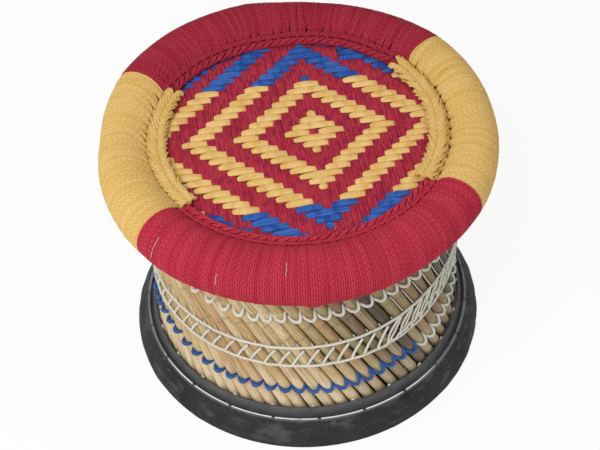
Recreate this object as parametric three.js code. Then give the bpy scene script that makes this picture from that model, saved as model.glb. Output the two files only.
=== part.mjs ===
// Mudda stool: two crossed layers of reeds stand in a ring cut from a tyre and carry a thick grass roll
// that is wrapped in red and yellow yarn. A seat of cotton rope is woven inside the roll, and cords bind
// the reeds. Millimetres, +Z up, the stool's axis on the Z axis and the floor at Z = 0.
// Azimuths are turned about +Z from +X. The front of the stool faces -Y.

import * as THREE from 'three';
import { mergeVertices } from 'three/addons/utils/BufferGeometryUtils.js';

const degrees = Math.PI / 180;

// Clearance between two pieces that touch on the real stool.
const clearance = 0.3;

// Whole stool.
const overallHeight = 304;

// Reeds: straight sticks that lean, so that each layer narrows at the waist.
const reedDiameter = 12.4;
const reedGap = 0.6;
const reedsPerBundle = 5;
const reedSlant = 25 * degrees;
const waistRadius = 162.8;
const waistHeight = 131;
const reedFootHeight = 3;
const firstReedAzimuth = -2 * degrees;
const innerLayerShare = 0.55;

// Rim: a round roll of grass with yarn wound over it. The outer reeds end inside the roll.
const rollRadius = 27;
const rollOutset = 9.1;
const reedHeadDepth = 15;
const innerHeadDrop = 25;
const yarnThickness = 3.5;
const yarnOpeningStart = -90 * degrees;
const yarnOpeningEnd = -135 * degrees;

// Azimuths where the yarn changes colour.
const frontLeftChange = -140 * degrees;
const frontRightChange = -32 * degrees;
const backRightChange = 38 * degrees;
const backLeftChange = 153 * degrees;

// Tyre ring at the foot.
const lacingDiameter = 2.2;
const tyreLipHeight = 42;
const tyreBeadHeight = 7;
const tyreLipThickness = 2.8;
const tyreGrooveWidth = 4.8;
const tyreGrooveDepth = 2.8;
const tyreRidgeHeight = 33;
const tyreFlare = 15.8;
const tyreShoulderHeight = 9.7;
const tyreBulge = 1.6;
const tyreWall = 4.5;
const tyreFootWidth = 8;
const tyreEdge = 1.2;
const stitchSpacing = 14.4 * degrees;
const firstStitchAzimuth = -90.2 * degrees;
const grooveShare = 1 / 3;
const stitchRiseShare = 1 / 4;

// Grass roll around the feet of the reeds, hidden in the tyre ring.
const footRollRadius = 6;
const footRollHeight = 12;

// Split bamboo hoops inside the reeds, and the round hoop that the seat is stretched on.
const innerHoopThickness = 4;
const innerHoopWidth = 12;
const lowerInnerHoopHeight = 40;
const upperInnerHoopDrop = 14;
const seatHoopRadius = 4.5;

// Seat: flat bands of cotton rope, the warp under the weft.
const warpPitch = 8.92;
const weftPitch = 9.25;
const bandGap = 1.3;
const bandThickness = 2.7;
const seatTopDrop = 19.6;
const patternTurn = 4.1 * degrees;
const patternAcross = 17.4;
const patternAlong = 1.5;
const yellowRowCountBehind = 8;
const yellowRowCountInFront = 11;

// Braided edge that covers the ends of the seat ropes.
const redBraidWidth = 14;
const yellowBraidWidth = 20;
const braidHeight = 6.6;

// Binding cords round the reeds.
const hoopCordDiameter = 3;
const lowerHoopHeight = 110.5;
const lowerHoopClimb = 12;
const lowerHoopClimbSpread = 24 * degrees;
const upperHoopHeight = 140.5;
const upperHoopClimb = 15;
const upperHoopClimbSpread = 42 * degrees;
const hoopClimbAzimuth = -25 * degrees;
const lashingDiameter = 2.4;
const rungLeanShare = 0.85;
const lashingClearanceShare = 2.6;
const scallopDiameter = 3;
const topScallopHeight = 200.5;
const lowScallopHeight = 80.5;
const scallopDrop = 10.5;
const scallopDip = 1.2;
const blueStart = 178 * degrees;
const blueEnd = -42 * degrees;

// Counts of flat faces on round shapes.
const roundSteps = 48;
const seatHoopSides = 6;
const cordSides = 4;
const reedSides = 6;
const coreSides = 10;
const footRollSides = 6;
const braidSides = 8;
const yarnOuterSteps = 14;
const yarnInnerSteps = 7;

// Colours and finishes.
const redYarn = new THREE.MeshStandardMaterial({ color: 0xa82c3d, roughness: 0.9, metalness: 0 });
const yellowYarn = new THREE.MeshStandardMaterial({ color: 0xdcb565, roughness: 0.9, metalness: 0 });
const blueYarn = new THREE.MeshStandardMaterial({ color: 0x2f5ba8, roughness: 0.9, metalness: 0 });
const reedStraw = new THREE.MeshStandardMaterial({ color: 0xc9a877, roughness: 0.6, metalness: 0 });
const bamboo = new THREE.MeshStandardMaterial({ color: 0xb8935a, roughness: 0.6, metalness: 0 });
const dryGrass = new THREE.MeshStandardMaterial({ color: 0xb09a62, roughness: 0.95, metalness: 0 });
const whiteCord = new THREE.MeshStandardMaterial({ color: 0xd9d8cb, roughness: 0.7, metalness: 0 });
const blueCord = new THREE.MeshStandardMaterial({ color: 0x2c579f, roughness: 0.7, metalness: 0 });
const tyreRubber = new THREE.MeshStandardMaterial({ color: 0x3b3c3e, roughness: 0.75, metalness: 0 });

// Sizes that follow from the ones above.
const reedRadius = reedDiameter / 2;
const slantRise = Math.tan(reedSlant);
const rollHeight = overallHeight - rollRadius;
const outerHeadHeight = rollHeight - reedHeadDepth;
const innerHeadHeight = rollHeight - innerHeadDrop;
const upperInnerHoopHeight = innerHeadHeight - upperInnerHoopDrop;

const waistLength = 2 * Math.PI * waistRadius * Math.cos(reedSlant);
const bundleCount = Math.floor(waistLength / ((reedDiameter + reedGap) * reedsPerBundle));
const reedCount = bundleCount * reedsPerBundle;
const reedPitch = (2 * Math.PI) / reedCount;

// Distance from the axis to the centre of a leaning reed at a height.
function layerRadius(waist, height) {
  return Math.hypot(waist, (height - waistHeight) * slantRise);
}

// The inner layer clears the outer one where they come closest, at the heads of the inner reeds.
// There each six-sided reed has turned its corner away from the other layer.
function innerWaistRadius() {
  const rise = (innerHeadHeight - waistHeight) * slantRise;
  const outerRadius = Math.hypot(waistRadius, rise);
  const turn = Math.atan(rise / waistRadius);
  const lean = Math.atan((rise * slantRise) / outerRadius);
  const innerRadius = outerRadius - (reedDiameter * Math.cos(turn) + clearance) / Math.cos(lean);
  return Math.sqrt(innerRadius ** 2 - rise ** 2);
}

const outerLayer = {
  waist: waistRadius,
  lean: -1,
  headHeight: outerHeadHeight,
  firstAzimuth: firstReedAzimuth,
};
const innerLayer = {
  waist: innerWaistRadius(),
  lean: 1,
  headHeight: innerHeadHeight,
  firstAzimuth: firstReedAzimuth + reedPitch * innerLayerShare,
};

// Azimuth that a reed gains between its waist and a height.
function layerTurn(layer, height) {
  return layer.lean * Math.atan2((height - waistHeight) * slantRise, layer.waist);
}

// Outermost radius of the outer reeds at a height.
function reedFace(height) {
  return layerRadius(waistRadius, height) + reedRadius;
}

// Innermost radius of the inner reeds at a height.
function reedInside(height) {
  return layerRadius(innerLayer.waist, height) - reedRadius * Math.cos(layerTurn(innerLayer, height));
}

function polar(radius, azimuth, height) {
  return new THREE.Vector3(radius * Math.cos(azimuth), radius * Math.sin(azimuth), height);
}

// A closed solid from rings of points. With an outline the ends are capped, without one the rings loop.
function loft(rings, outline) {
  const perRing = rings[0].length;
  const indices = [];
  const spans = outline ? rings.length - 1 : rings.length;
  for (let span = 0; span < spans; span += 1) {
    const here = span * perRing;
    const next = ((span + 1) % rings.length) * perRing;
    for (let corner = 0; corner < perRing; corner += 1) {
      const after = (corner + 1) % perRing;
      indices.push(here + corner, here + after, next + after);
      indices.push(here + corner, next + after, next + corner);
    }
  }
  if (outline) {
    const last = (rings.length - 1) * perRing;
    for (const [a, b, c] of THREE.ShapeUtils.triangulateShape(outline, [])) {
      indices.push(c, b, a);
      indices.push(last + a, last + b, last + c);
    }
  }
  const geometry = new THREE.BufferGeometry().setFromPoints(rings.flat());
  geometry.setIndex(indices);
  return facingOut(geometry);
}

// Turns every face round when the solid's signed volume is negative.
function facingOut(geometry) {
  const place = geometry.getAttribute('position');
  const index = geometry.getIndex();
  const [a, b, c] = [new THREE.Vector3(), new THREE.Vector3(), new THREE.Vector3()];
  let volume = 0;
  for (let face = 0; face < index.count; face += 3) {
    a.fromBufferAttribute(place, index.getX(face));
    b.fromBufferAttribute(place, index.getX(face + 1));
    c.fromBufferAttribute(place, index.getX(face + 2));
    volume += a.dot(b.cross(c));
  }
  if (volume < 0) {
    for (let face = 0; face < index.count; face += 3) {
      const first = index.getX(face);
      index.setX(face, index.getX(face + 2));
      index.setX(face + 2, first);
    }
  }
  geometry.computeVertexNormals();
  return geometry;
}

// A full ring about the axis from a closed outline of (radius, height) points.
function turnedRing(outline, steps) {
  const points = outline.map(([radius, height]) => new THREE.Vector2(radius, height));
  if (THREE.ShapeUtils.isClockWise(points)) {
    points.reverse();
  }
  points.push(points[0].clone());
  const geometry = new THREE.LatheGeometry(points, steps);
  geometry.rotateX(Math.PI / 2);
  geometry.deleteAttribute('uv');
  geometry.deleteAttribute('normal');
  const merged = mergeVertices(geometry);
  merged.computeVertexNormals();
  return merged;
}

// A stretch of ring between two azimuths. Its steps lie on the full ring's steps, with one at each end.
function ringStretch(outline, from, to, endGap) {
  const step = (2 * Math.PI) / roundSteps;
  const middleRadius = outline.reduce((sum, [radius]) => sum + radius, 0) / outline.length;
  const start = from + endGap / middleRadius;
  const end = (to > from ? to : to + 2 * Math.PI) - endGap / middleRadius;
  const azimuths = [start];
  for (let count = Math.ceil(start / step + 1 / 4); count * step < end - step / 4; count += 1) {
    azimuths.push(count * step);
  }
  azimuths.push(end);
  const rings = azimuths.map((azimuth) => outline.map(([radius, height]) => polar(radius, azimuth, height)));
  return loft(rings, outline.map(([radius, height]) => new THREE.Vector2(radius, height)));
}

// A round section's outline about a centre.
function roundOutline(centreRadius, centreHeight, radius, sides) {
  return Array.from({ length: sides }, (_, side) => {
    const angle = ((side + 1 / 2) * 2 * Math.PI) / sides;
    return [centreRadius + radius * Math.cos(angle), centreHeight + radius * Math.sin(angle)];
  });
}

// A cord through stations, each a point and the direction that points away from the reeds.
function cord(stations, radius, closed) {
  const count = stations.length;
  const rings = stations.map(({ at, out }, number) => {
    const before = stations[closed ? (number + count - 1) % count : Math.max(number - 1, 0)].at;
    const after = stations[closed ? (number + 1) % count : Math.min(number + 1, count - 1)].at;
    const along = after.clone().sub(before).normalize();
    const outward = out.clone().addScaledVector(along, -out.dot(along)).normalize();
    const aside = along.clone().cross(outward);
    return Array.from({ length: cordSides }, (_, side) => {
      const angle = (side * 2 * Math.PI) / cordSides;
      return at
        .clone()
        .addScaledVector(outward, radius * Math.cos(angle))
        .addScaledVector(aside, radius * Math.sin(angle));
    });
  });
  if (closed) {
    return loft(rings, null);
  }
  const section = Array.from({ length: cordSides }, (_, side) => {
    const angle = (side * 2 * Math.PI) / cordSides;
    return new THREE.Vector2(Math.cos(angle), Math.sin(angle));
  });
  return loft(rings, section);
}

// A station of a cord on the outer reeds. The share counts pitches from the reed's middle.
function stationOnReeds(reed, share, height, lift) {
  const azimuth = firstReedAzimuth + (reed + share) * reedPitch + layerTurn(outerLayer, height);
  return {
    at: polar(layerRadius(waistRadius, height) + lift, azimuth, height),
    out: polar(1, azimuth, 0),
  };
}

// Neighbouring reeds, pressed flat against each other, cut level at foot and head.
function reedBundle(layer, bundle) {
  const cornerStep = (2 * Math.PI) / reedSides;
  const half = reedSides / 2;
  const outward = [];
  const inward = [];
  for (let number = 0; number < reedsPerBundle; number += 1) {
    const azimuth = layer.firstAzimuth + (bundle * reedsPerBundle + number) * reedPitch;
    const out = polar(1, azimuth, 0);
    const along = polar(layer.lean * Math.sin(reedSlant), azimuth + Math.PI / 2, Math.cos(reedSlant));
    const aside = along.clone().cross(out).normalize();
    const waistPoint = polar(layer.waist, azimuth, waistHeight);
    for (let corner = 0; corner < reedSides; corner += 1) {
      const angle = (corner + 1 / 2 - half / 2) * cornerStep;
      const line = {
        through: waistPoint
          .clone()
          .addScaledVector(out, reedRadius * Math.cos(angle))
          .addScaledVector(aside, reedRadius * Math.sin(angle)),
        along,
      };
      (corner < half ? outward : inward).push({ line, order: number });
    }
  }
  const back = [];
  for (let number = reedsPerBundle - 1; number >= 0; number -= 1) {
    back.push(...inward.filter(({ order }) => order === number));
  }
  const lines = [...back, ...outward].map(({ line }) => line);
  const rings = [reedFootHeight, layer.headHeight].map((height) =>
    lines.map(({ through, along }) =>
      through.clone().addScaledVector(along, (height - through.z) / along.z),
    ),
  );
  return loft(rings, rings[0].map(({ x, y }) => new THREE.Vector2(x, y)));
}

// The tyre ring: a foot, a sloping wall, a ridge, a groove and a lip that grips the laced reeds.
function tyreRing() {
  const lipInner = tyreLipInner();
  const lipOuter = lipInner + tyreLipThickness;
  const grooveRadius = lipOuter + tyreGrooveWidth * grooveShare;
  const ridgeRadius = lipOuter + tyreGrooveWidth;
  const footRadius = ridgeRadius + tyreFlare;
  const grooveHeight = tyreRidgeHeight - tyreGrooveDepth;
  const beadFoot = tyreLipHeight - tyreBeadHeight;
  const footInner = footRadius - tyreFootWidth;
  const bulgeRadius = (footRadius + ridgeRadius + tyreBulge) / 2;
  const bulgeHeight = (tyreShoulderHeight + tyreRidgeHeight + tyreBulge) / 2;
  return turnedRing(
    [
      [footRadius - tyreEdge, 0],
      [footRadius, tyreEdge * 2],
      [footRadius - tyreEdge / 2, tyreShoulderHeight],
      [bulgeRadius, bulgeHeight],
      [ridgeRadius + tyreEdge, tyreRidgeHeight - tyreEdge / 2],
      [ridgeRadius - tyreEdge, tyreRidgeHeight],
      [grooveRadius, grooveHeight],
      [lipOuter, tyreLipHeight - tyreEdge],
      [lipOuter - tyreEdge, tyreLipHeight],
      [lipInner, tyreLipHeight],
      [lipInner, beadFoot],
      [grooveRadius - tyreLipThickness / 2, grooveHeight - tyreWall],
      [bulgeRadius - tyreWall, bulgeHeight - tyreWall / 2],
      [footInner, tyreShoulderHeight],
      [footInner, 0],
    ],
    roundSteps,
  );
}

// The lip clears the reeds by the lacing cord that lies between them.
function tyreLipInner() {
  return reedFace(tyreLipHeight - tyreBeadHeight) + lacingDiameter + 2 * clearance;
}

// Grass roll that the tyre ring is stretched over.
function footRoll() {
  const flatRadius = footRollRadius * Math.cos(Math.PI / footRollSides);
  const centre = reedFace(footRollHeight - footRollRadius) + clearance + flatRadius;
  return turnedRing(roundOutline(centre, footRollHeight, footRollRadius, footRollSides), roundSteps);
}

// A flat bamboo hoop that the inner reeds are tied to. It follows their slope.
function innerHoop(height) {
  const low = height - innerHoopWidth / 2;
  const high = height + innerHoopWidth / 2;
  return turnedRing(
    [
      [reedInside(low) - clearance, low],
      [reedInside(high) - clearance, high],
      [reedInside(high) - clearance - innerHoopThickness, high],
      [reedInside(low) - clearance - innerHoopThickness, low],
    ],
    roundSteps,
  );
}

// Places that the rim, the braids and the seat share.
const rollCentreRadius = layerRadius(waistRadius, outerHeadHeight) + rollOutset;
const seatTop = overallHeight - seatTopDrop;
const weftBottom = seatTop - bandThickness;
const warpBottom = weftBottom - clearance - bandThickness;
const seatHoopHeight = warpBottom - clearance - seatHoopRadius;
const seatHoopFlat = seatHoopRadius * Math.cos(Math.PI / seatHoopSides);
const seatHoopCentre = rollCentreRadius - rollRadius - clearance - seatHoopFlat;

// How far the middle of a flat step of a ring lies inside its corners, on the rim.
const stepSag = rollCentreRadius * (1 - Math.cos(Math.PI / roundSteps));

// The hoop that the seat is stretched on.
function seatHoop() {
  return turnedRing(roundOutline(seatHoopCentre, seatHoopHeight, seatHoopRadius, seatHoopSides), roundSteps);
}

// Grass core of the rim, cut flat underneath where it sits on the reeds.
function rimCore() {
  const radius = rollRadius - yarnThickness - clearance - stepSag;
  const flat = outerHeadHeight + clearance;
  const reach = Math.sqrt(radius ** 2 - (flat - rollHeight) ** 2);
  const start = Math.atan2(flat - rollHeight, reach);
  const sweep = Math.PI - 2 * start;
  const outline = Array.from({ length: coreSides }, (_, corner) => {
    const angle = start + (sweep * corner) / (coreSides - 1);
    return [rollCentreRadius + radius * Math.cos(angle), rollHeight + radius * Math.sin(angle)];
  });
  return turnedRing(outline, roundSteps);
}

// Yarn wound over the core between two azimuths, open underneath where the reeds go in.
function yarnWrap(from, to) {
  const sweep = yarnOpeningEnd + 2 * Math.PI - yarnOpeningStart;
  const arc = (radius, steps) =>
    Array.from({ length: steps + 1 }, (_, step) => {
      const angle = yarnOpeningStart + (sweep * step) / steps;
      return [rollCentreRadius + radius * Math.cos(angle), rollHeight + radius * Math.sin(angle)];
    });
  const inside = (rollRadius - yarnThickness) / Math.cos(sweep / yarnInnerSteps / 2);
  const outline = [...arc(rollRadius, yarnOuterSteps), ...arc(inside, yarnInnerSteps).reverse()];
  return ringStretch(outline, from, to, clearance / 2);
}

// Braided edge between the seat and the rim.
function braid(from, to, braidWidth) {
  const height = seatTop + clearance + braidHeight / 2;
  const rise = height - rollHeight;
  const rimFace = rollCentreRadius - Math.sqrt(rollRadius ** 2 - rise ** 2);
  const centre = rimFace - clearance - stepSag - braidWidth / 2;
  const half = Math.cos(Math.PI / braidSides);
  const outline = Array.from({ length: braidSides }, (_, corner) => {
    const angle = ((corner + 1 / 2) * 2 * Math.PI) / braidSides;
    return [
      centre + ((braidWidth / 2) * Math.cos(angle)) / half,
      height + ((braidHeight / 2) * Math.sin(angle)) / half,
    ];
  });
  return ringStretch(outline, from, to, clearance / 2);
}

// One long band that runs to and fro across the seat, as an outline in its own plane.
// Places are the middles of the runs, and each run ends on the seat hoop.
function bandOutline(places, width, edgeRadius) {
  const runs = places.map((place) => ({
    low: place - width / 2,
    high: place + width / 2,
    reach: Math.sqrt(edgeRadius ** 2 - (Math.abs(place) + width / 2) ** 2),
  }));
  const below = [];
  const above = [];
  runs.forEach((run, number) => {
    below.push([run.low, -run.reach], [run.high, -run.reach]);
    above.push([run.low, run.reach], [run.high, run.reach]);
    const next = runs[number + 1];
    if (!next) {
      return;
    }
    const turn = Math.min(run.reach, next.reach);
    const [lowTurn, highTurn] = number % 2 ? [-turn, width - turn] : [turn - width, turn];
    below.push([run.high, lowTurn], [next.low, lowTurn]);
    above.push([run.high, highTurn], [next.low, highTurn]);
  });
  const outline = [...below, ...above.reverse()];
  return outline.filter(([x, y], number) => {
    const [otherX, otherY] = outline[(number + 1) % outline.length];
    return x !== otherX || y !== otherY;
  });
}

// The places of the runs from one index to another that are long enough to cross the seat.
function runPlaces(origin, pitch, first, last, edgeRadius) {
  const places = [];
  for (let number = first; number <= last; number += 1) {
    const place = origin + number * pitch;
    if (Math.abs(place) + Math.abs(pitch) < edgeRadius) {
      places.push(place);
    }
  }
  return places.sort((a, b) => a - b);
}

// A band as a solid. A crossing band is turned a quarter about the axis.
function seatBand(places, pitch, crossing) {
  const outline = bandOutline(places, pitch - bandGap, seatHoopCentre);
  const corners = outline.map(([x, y]) => (crossing ? new THREE.Vector2(-y, x) : new THREE.Vector2(x, y)));
  const shape = new THREE.Shape(corners);
  return new THREE.ExtrudeGeometry(shape, { depth: bandThickness, bevelEnabled: false });
}

const mostRuns = Math.ceil((2 * seatHoopCentre) / Math.min(warpPitch, weftPitch));

function warpBand() {
  const places = runPlaces(patternAcross, warpPitch, -mostRuns, mostRuns, seatHoopCentre);
  return seatBand(places, warpPitch, false);
}

function weftBand(firstRow, lastRow) {
  const places = runPlaces(patternAlong, -weftPitch, firstRow, lastRow, seatHoopCentre);
  return seatBand(places, weftPitch, true);
}

// The cord hoops lie level and climb towards the right side of the stool.
const lowerHoop = { height: lowerHoopHeight, climb: lowerHoopClimb, spread: lowerHoopClimbSpread };
const upperHoop = { height: upperHoopHeight, climb: upperHoopClimb, spread: upperHoopClimbSpread };

function hoopHeightAt(hoop, azimuth) {
  const turned = azimuth - hoopClimbAzimuth;
  const away = Math.atan2(Math.sin(turned), Math.cos(turned)) / hoop.spread;
  return hoop.height + hoop.climb * Math.exp(-(away ** 2));
}

// A plain cord hoop round the reeds.
function bindingHoop(hoop) {
  const lift = reedRadius + clearance + hoopCordDiameter / 2;
  const stations = Array.from({ length: reedCount }, (_, reed) => {
    const height = hoopHeightAt(hoop, firstReedAzimuth + reed * reedPitch);
    return stationOnReeds(reed, 0, height, lift);
  });
  return cord(stations, hoopCordDiameter / 2, true);
}

// The cord between the two hoops: up one slanting rung, along, and down the next.
function ladderLashing() {
  const rungs = 2 * Math.floor(reedCount / 2);
  const lift = reedRadius + clearance + lashingDiameter / 2;
  const inset = hoopCordDiameter / 2 + lashingClearanceShare * clearance + lashingDiameter / 2;
  const rungLean = rungLeanShare * reedPitch;
  const stationAt = (azimuth, height) => ({
    at: polar(layerRadius(waistRadius, height) + lift, azimuth, height),
    out: polar(1, azimuth, 0),
  });
  const stations = [];
  for (let rung = 0; rung < rungs; rung += 1) {
    const azimuth = firstReedAzimuth + (rung * 2 * Math.PI) / rungs;
    const bottom = hoopHeightAt(lowerHoop, azimuth) + inset;
    const top = hoopHeightAt(upperHoop, azimuth + rungLean) - inset;
    const ends = [stationAt(azimuth, bottom), stationAt(azimuth + rungLean, top)];
    stations.push(...(rung % 2 ? ends.reverse() : ends));
  }
  return cord(stations, lashingDiameter / 2, true);
}

// Shares of the pitch and of the drop for the stations of a scallop on one reed.
const scallopShares = [
  { pitch: -1 / 2, drop: 0.2, front: false },
  { pitch: -0.25, drop: 1, front: true },
  { pitch: 0.2, drop: 0.9, front: true },
];

// A cord that hangs in a scallop over each reed and dips into the gap before the next.
function scallopStations(firstReed, lastReed, topHeight) {
  const reach = reedRadius + 2 * clearance + scallopDiameter / 2;
  const gapLift = reach - scallopDip;
  const stations = [];
  for (let reed = firstReed; reed <= lastReed; reed += 1) {
    for (const share of scallopShares) {
      const height = topHeight - share.drop * scallopDrop;
      stations.push(stationOnReeds(reed, share.pitch, height, share.front ? reach : gapLift));
    }
  }
  return stations;
}

// Scallops all the way round.
function scallopRing(topHeight) {
  return cord(scallopStations(0, reedCount - 1, topHeight), scallopDiameter / 2, true);
}

// Scallops from one reed to another.
function scallopStretch(firstReed, lastReed, topHeight) {
  return cord(scallopStations(firstReed, lastReed, topHeight), scallopDiameter / 2, false);
}

// The reed that stands at an azimuth at a height.
function reedAt(azimuth, height) {
  return Math.round((azimuth - firstReedAzimuth - layerTurn(outerLayer, height)) / reedPitch);
}

// The cord between the tyre's lip and the reeds, which comes up over the lip at each stitch.
function baseLacing() {
  const stitches = Math.round((2 * Math.PI) / stitchSpacing);
  const stitchPitch = (2 * Math.PI) / stitches;
  const low = tyreLipHeight - tyreBeadHeight / 2;
  const high = tyreLipHeight + lacingDiameter * stitchRiseShare;
  const stitchShares = [
    { pitch: -0.2, height: low },
    { pitch: 0, height: high },
    { pitch: 0.2, height: low },
    { pitch: 1 / 2, height: low },
  ];
  const stations = [];
  for (let stitch = 0; stitch < stitches; stitch += 1) {
    for (const share of stitchShares) {
      const azimuth = firstStitchAzimuth + (stitch + share.pitch) * stitchPitch;
      const radius = reedFace(share.height) + clearance + lacingDiameter / 2;
      stations.push({ at: polar(radius, azimuth, share.height), out: polar(1, azimuth, 0) });
    }
  }
  return cord(stations, lacingDiameter / 2, true);
}

const stool = new THREE.Group();

function addPiece(name, geometry, material) {
  const piece = new THREE.Mesh(geometry, material);
  piece.name = name;
  stool.add(piece);
  return piece;
}

// Foot.
addPiece('tyre_ring', tyreRing(), tyreRubber);
addPiece('foot_roll', footRoll(), dryGrass);
addPiece('base_lacing', baseLacing(), whiteCord);

// Reeds.
for (let bundle = 0; bundle < bundleCount; bundle += 1) {
  const number = String(bundle + 1).padStart(2, '0');
  addPiece(`outer_reeds_${number}`, reedBundle(outerLayer, bundle), reedStraw);
  addPiece(`inner_reeds_${number}`, reedBundle(innerLayer, bundle), reedStraw);
}
addPiece('lower_inner_hoop', innerHoop(lowerInnerHoopHeight), bamboo);
addPiece('upper_inner_hoop', innerHoop(upperInnerHoopHeight), bamboo);

// Bindings.
addPiece('lower_hoop_cord', bindingHoop(lowerHoop), whiteCord);
addPiece('upper_hoop_cord', bindingHoop(upperHoop), whiteCord);
addPiece('ladder_lashing', ladderLashing(), whiteCord);
addPiece('top_scallop_cord', scallopRing(topScallopHeight), whiteCord);
const firstBlueReed = reedAt(blueStart - 2 * Math.PI, lowScallopHeight);
const lastBlueReed = reedAt(blueEnd, lowScallopHeight);
addPiece('blue_scallop_cord', scallopStretch(firstBlueReed, lastBlueReed, lowScallopHeight), blueCord);
addPiece(
  'white_scallop_cord',
  scallopStretch(lastBlueReed + 1, firstBlueReed + reedCount - 1, lowScallopHeight),
  whiteCord,
);

// Rim.
addPiece('rim_core', rimCore(), dryGrass);
addPiece('front_red_wrap', yarnWrap(frontLeftChange, frontRightChange), redYarn);
addPiece('right_yellow_wrap', yarnWrap(frontRightChange, backRightChange), yellowYarn);
addPiece('back_red_wrap', yarnWrap(backRightChange, backLeftChange), redYarn);
addPiece('left_yellow_wrap', yarnWrap(backLeftChange, frontLeftChange), yellowYarn);
addPiece('front_red_braid', braid(frontLeftChange, frontRightChange, redBraidWidth), redYarn);
addPiece('right_yellow_braid', braid(frontRightChange, backRightChange, yellowBraidWidth), yellowYarn);
addPiece('back_red_braid', braid(backRightChange, backLeftChange, redBraidWidth), redYarn);
addPiece('left_yellow_braid', braid(backLeftChange, frontLeftChange, yellowBraidWidth), yellowYarn);

// Seat.
addPiece('seat_hoop', seatHoop(), bamboo);
const seatPieces = [
  ['seat_warp', warpBand(), redYarn, warpBottom],
  ['back_blue_weft', weftBand(-mostRuns, -yellowRowCountBehind - 1), blueYarn, weftBottom],
  ['yellow_weft', weftBand(-yellowRowCountBehind, yellowRowCountInFront), yellowYarn, weftBottom],
  ['front_blue_weft', weftBand(yellowRowCountInFront + 1, mostRuns), blueYarn, weftBottom],
];
for (const [name, geometry, material, bottom] of seatPieces) {
  const piece = addPiece(name, geometry, material);
  piece.rotation.z = patternTurn;
  piece.position.z = bottom;
}

export default stool;
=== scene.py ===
import math
import random

import bpy
import numpy as np
from mathutils import Matrix, Vector


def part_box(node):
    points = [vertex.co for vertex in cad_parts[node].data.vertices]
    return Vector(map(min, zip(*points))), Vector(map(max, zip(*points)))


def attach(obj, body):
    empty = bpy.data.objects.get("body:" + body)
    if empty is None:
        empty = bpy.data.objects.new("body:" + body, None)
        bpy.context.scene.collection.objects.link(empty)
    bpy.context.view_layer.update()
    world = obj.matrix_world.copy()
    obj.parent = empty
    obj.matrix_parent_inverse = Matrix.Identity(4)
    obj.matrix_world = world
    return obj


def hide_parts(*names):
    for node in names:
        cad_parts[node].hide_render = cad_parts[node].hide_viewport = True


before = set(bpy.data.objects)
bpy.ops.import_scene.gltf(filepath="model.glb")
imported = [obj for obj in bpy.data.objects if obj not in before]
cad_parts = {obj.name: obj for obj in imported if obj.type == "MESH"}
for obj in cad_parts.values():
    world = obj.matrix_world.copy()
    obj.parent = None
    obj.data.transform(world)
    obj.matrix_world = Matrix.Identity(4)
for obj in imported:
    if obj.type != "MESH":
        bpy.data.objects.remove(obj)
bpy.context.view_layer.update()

# Sizes, in metres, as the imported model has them.
mm = 0.001
turn = 2 * math.pi

reed_count = 70
reeds_per_bundle = 5
bundle_count = 14
reed_pitch = turn / reed_count
first_reed = math.radians(-2)
reed_radius = 6.2 * mm
reed_slant = math.radians(25)
slant_rise = math.tan(reed_slant)
outer_waist = 162.8 * mm
inner_waist = 149.85 * mm
inner_layer_share = 0.55
waist_height = 131 * mm
foot_height = 3.4 * mm
outer_head_height = 262 * mm
inner_head_height = 252 * mm

roll_centre = 182.98 * mm
roll_height = 277 * mm
roll_radius = 27 * mm

red_braid_radius = 150.2 * mm
yellow_braid_radius = 144.6 * mm

seat_turn = math.radians(4.1)
warp_pitch = 8.92 * mm
weft_pitch = 9.25 * mm
pattern_across = 17.4 * mm
pattern_along = 1.5 * mm
seat_level = 281.4 * mm
seat_hoop_radius = 151.4 * mm
seat_hoop_height = 274.2 * mm
seat_hoop_thickness = 2.9 * mm
last_back_blue_row = -9
first_front_blue_row = 12

top_scallop_height = 200.5 * mm
low_scallop_height = 80.5 * mm
scallop_drop = 10.5 * mm

hoop_climb_azimuth = math.radians(-25)

# Azimuths where the rim changes colour, and the reeds where the lower scallops do.
front_left = math.radians(-140)
front_right = math.radians(-32)
back_right = math.radians(38)
back_left = math.radians(153)
blue_start = math.radians(-182)
blue_end = math.radians(-47)

yarn_lay = 5.5 * mm
cord_lay = 5 * mm

# The camera, fitted to the outlines of the stool in the photograph. Angles are in radians, and its lens and
# film are in millimetres.
camera_place = (-0.0011, -0.9707, 1.2248)
camera_yaw, camera_pitch, camera_roll = -0.002, 0.84, -0.061
camera_lens, camera_film = 78, 36


def polar(radius, azimuth, height):
    return np.array([radius * math.cos(azimuth), radius * math.sin(azimuth), height])


def bell(value, middle, width):
    """1 at the middle, and falling to nothing on both sides."""
    return math.exp(-(((value - middle) / width) ** 2))


def degrees_round(azimuth):
    """An azimuth in degrees, between -180 and 180."""
    return math.degrees(math.remainder(azimuth, turn))


def srgb(red, green, blue):
    """A colour as it is read off a screen, 0 to 255, in the linear numbers that materials use."""
    shares = (red / 255, green / 255, blue / 255)
    linear = [share / 12.92 if share <= 0.04045 else ((share + 0.055) / 1.055) ** 2.4 for share in shares]
    return (*linear, 1.0)


def place_camera():
    """The camera stands where the photograph was taken from."""
    forward = Vector(
        (
            math.sin(camera_yaw) * math.cos(camera_pitch),
            math.cos(camera_yaw) * math.cos(camera_pitch),
            -math.sin(camera_pitch),
        )
    )
    right = Vector((math.cos(camera_yaw), -math.sin(camera_yaw), 0))
    up = right.cross(forward)
    right_rolled = math.cos(camera_roll) * right + math.sin(camera_roll) * up
    up_rolled = -math.sin(camera_roll) * right + math.cos(camera_roll) * up
    bpy.ops.object.camera_add(location=camera_place)
    camera = bpy.context.object
    camera.name = "camera"
    turned = Matrix((right_rolled, up_rolled, -forward)).transposed()
    camera.rotation_euler = turned.to_euler()
    camera.data.lens = camera_lens
    camera.data.sensor_width = camera_film
    bpy.context.scene.camera = camera


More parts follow.
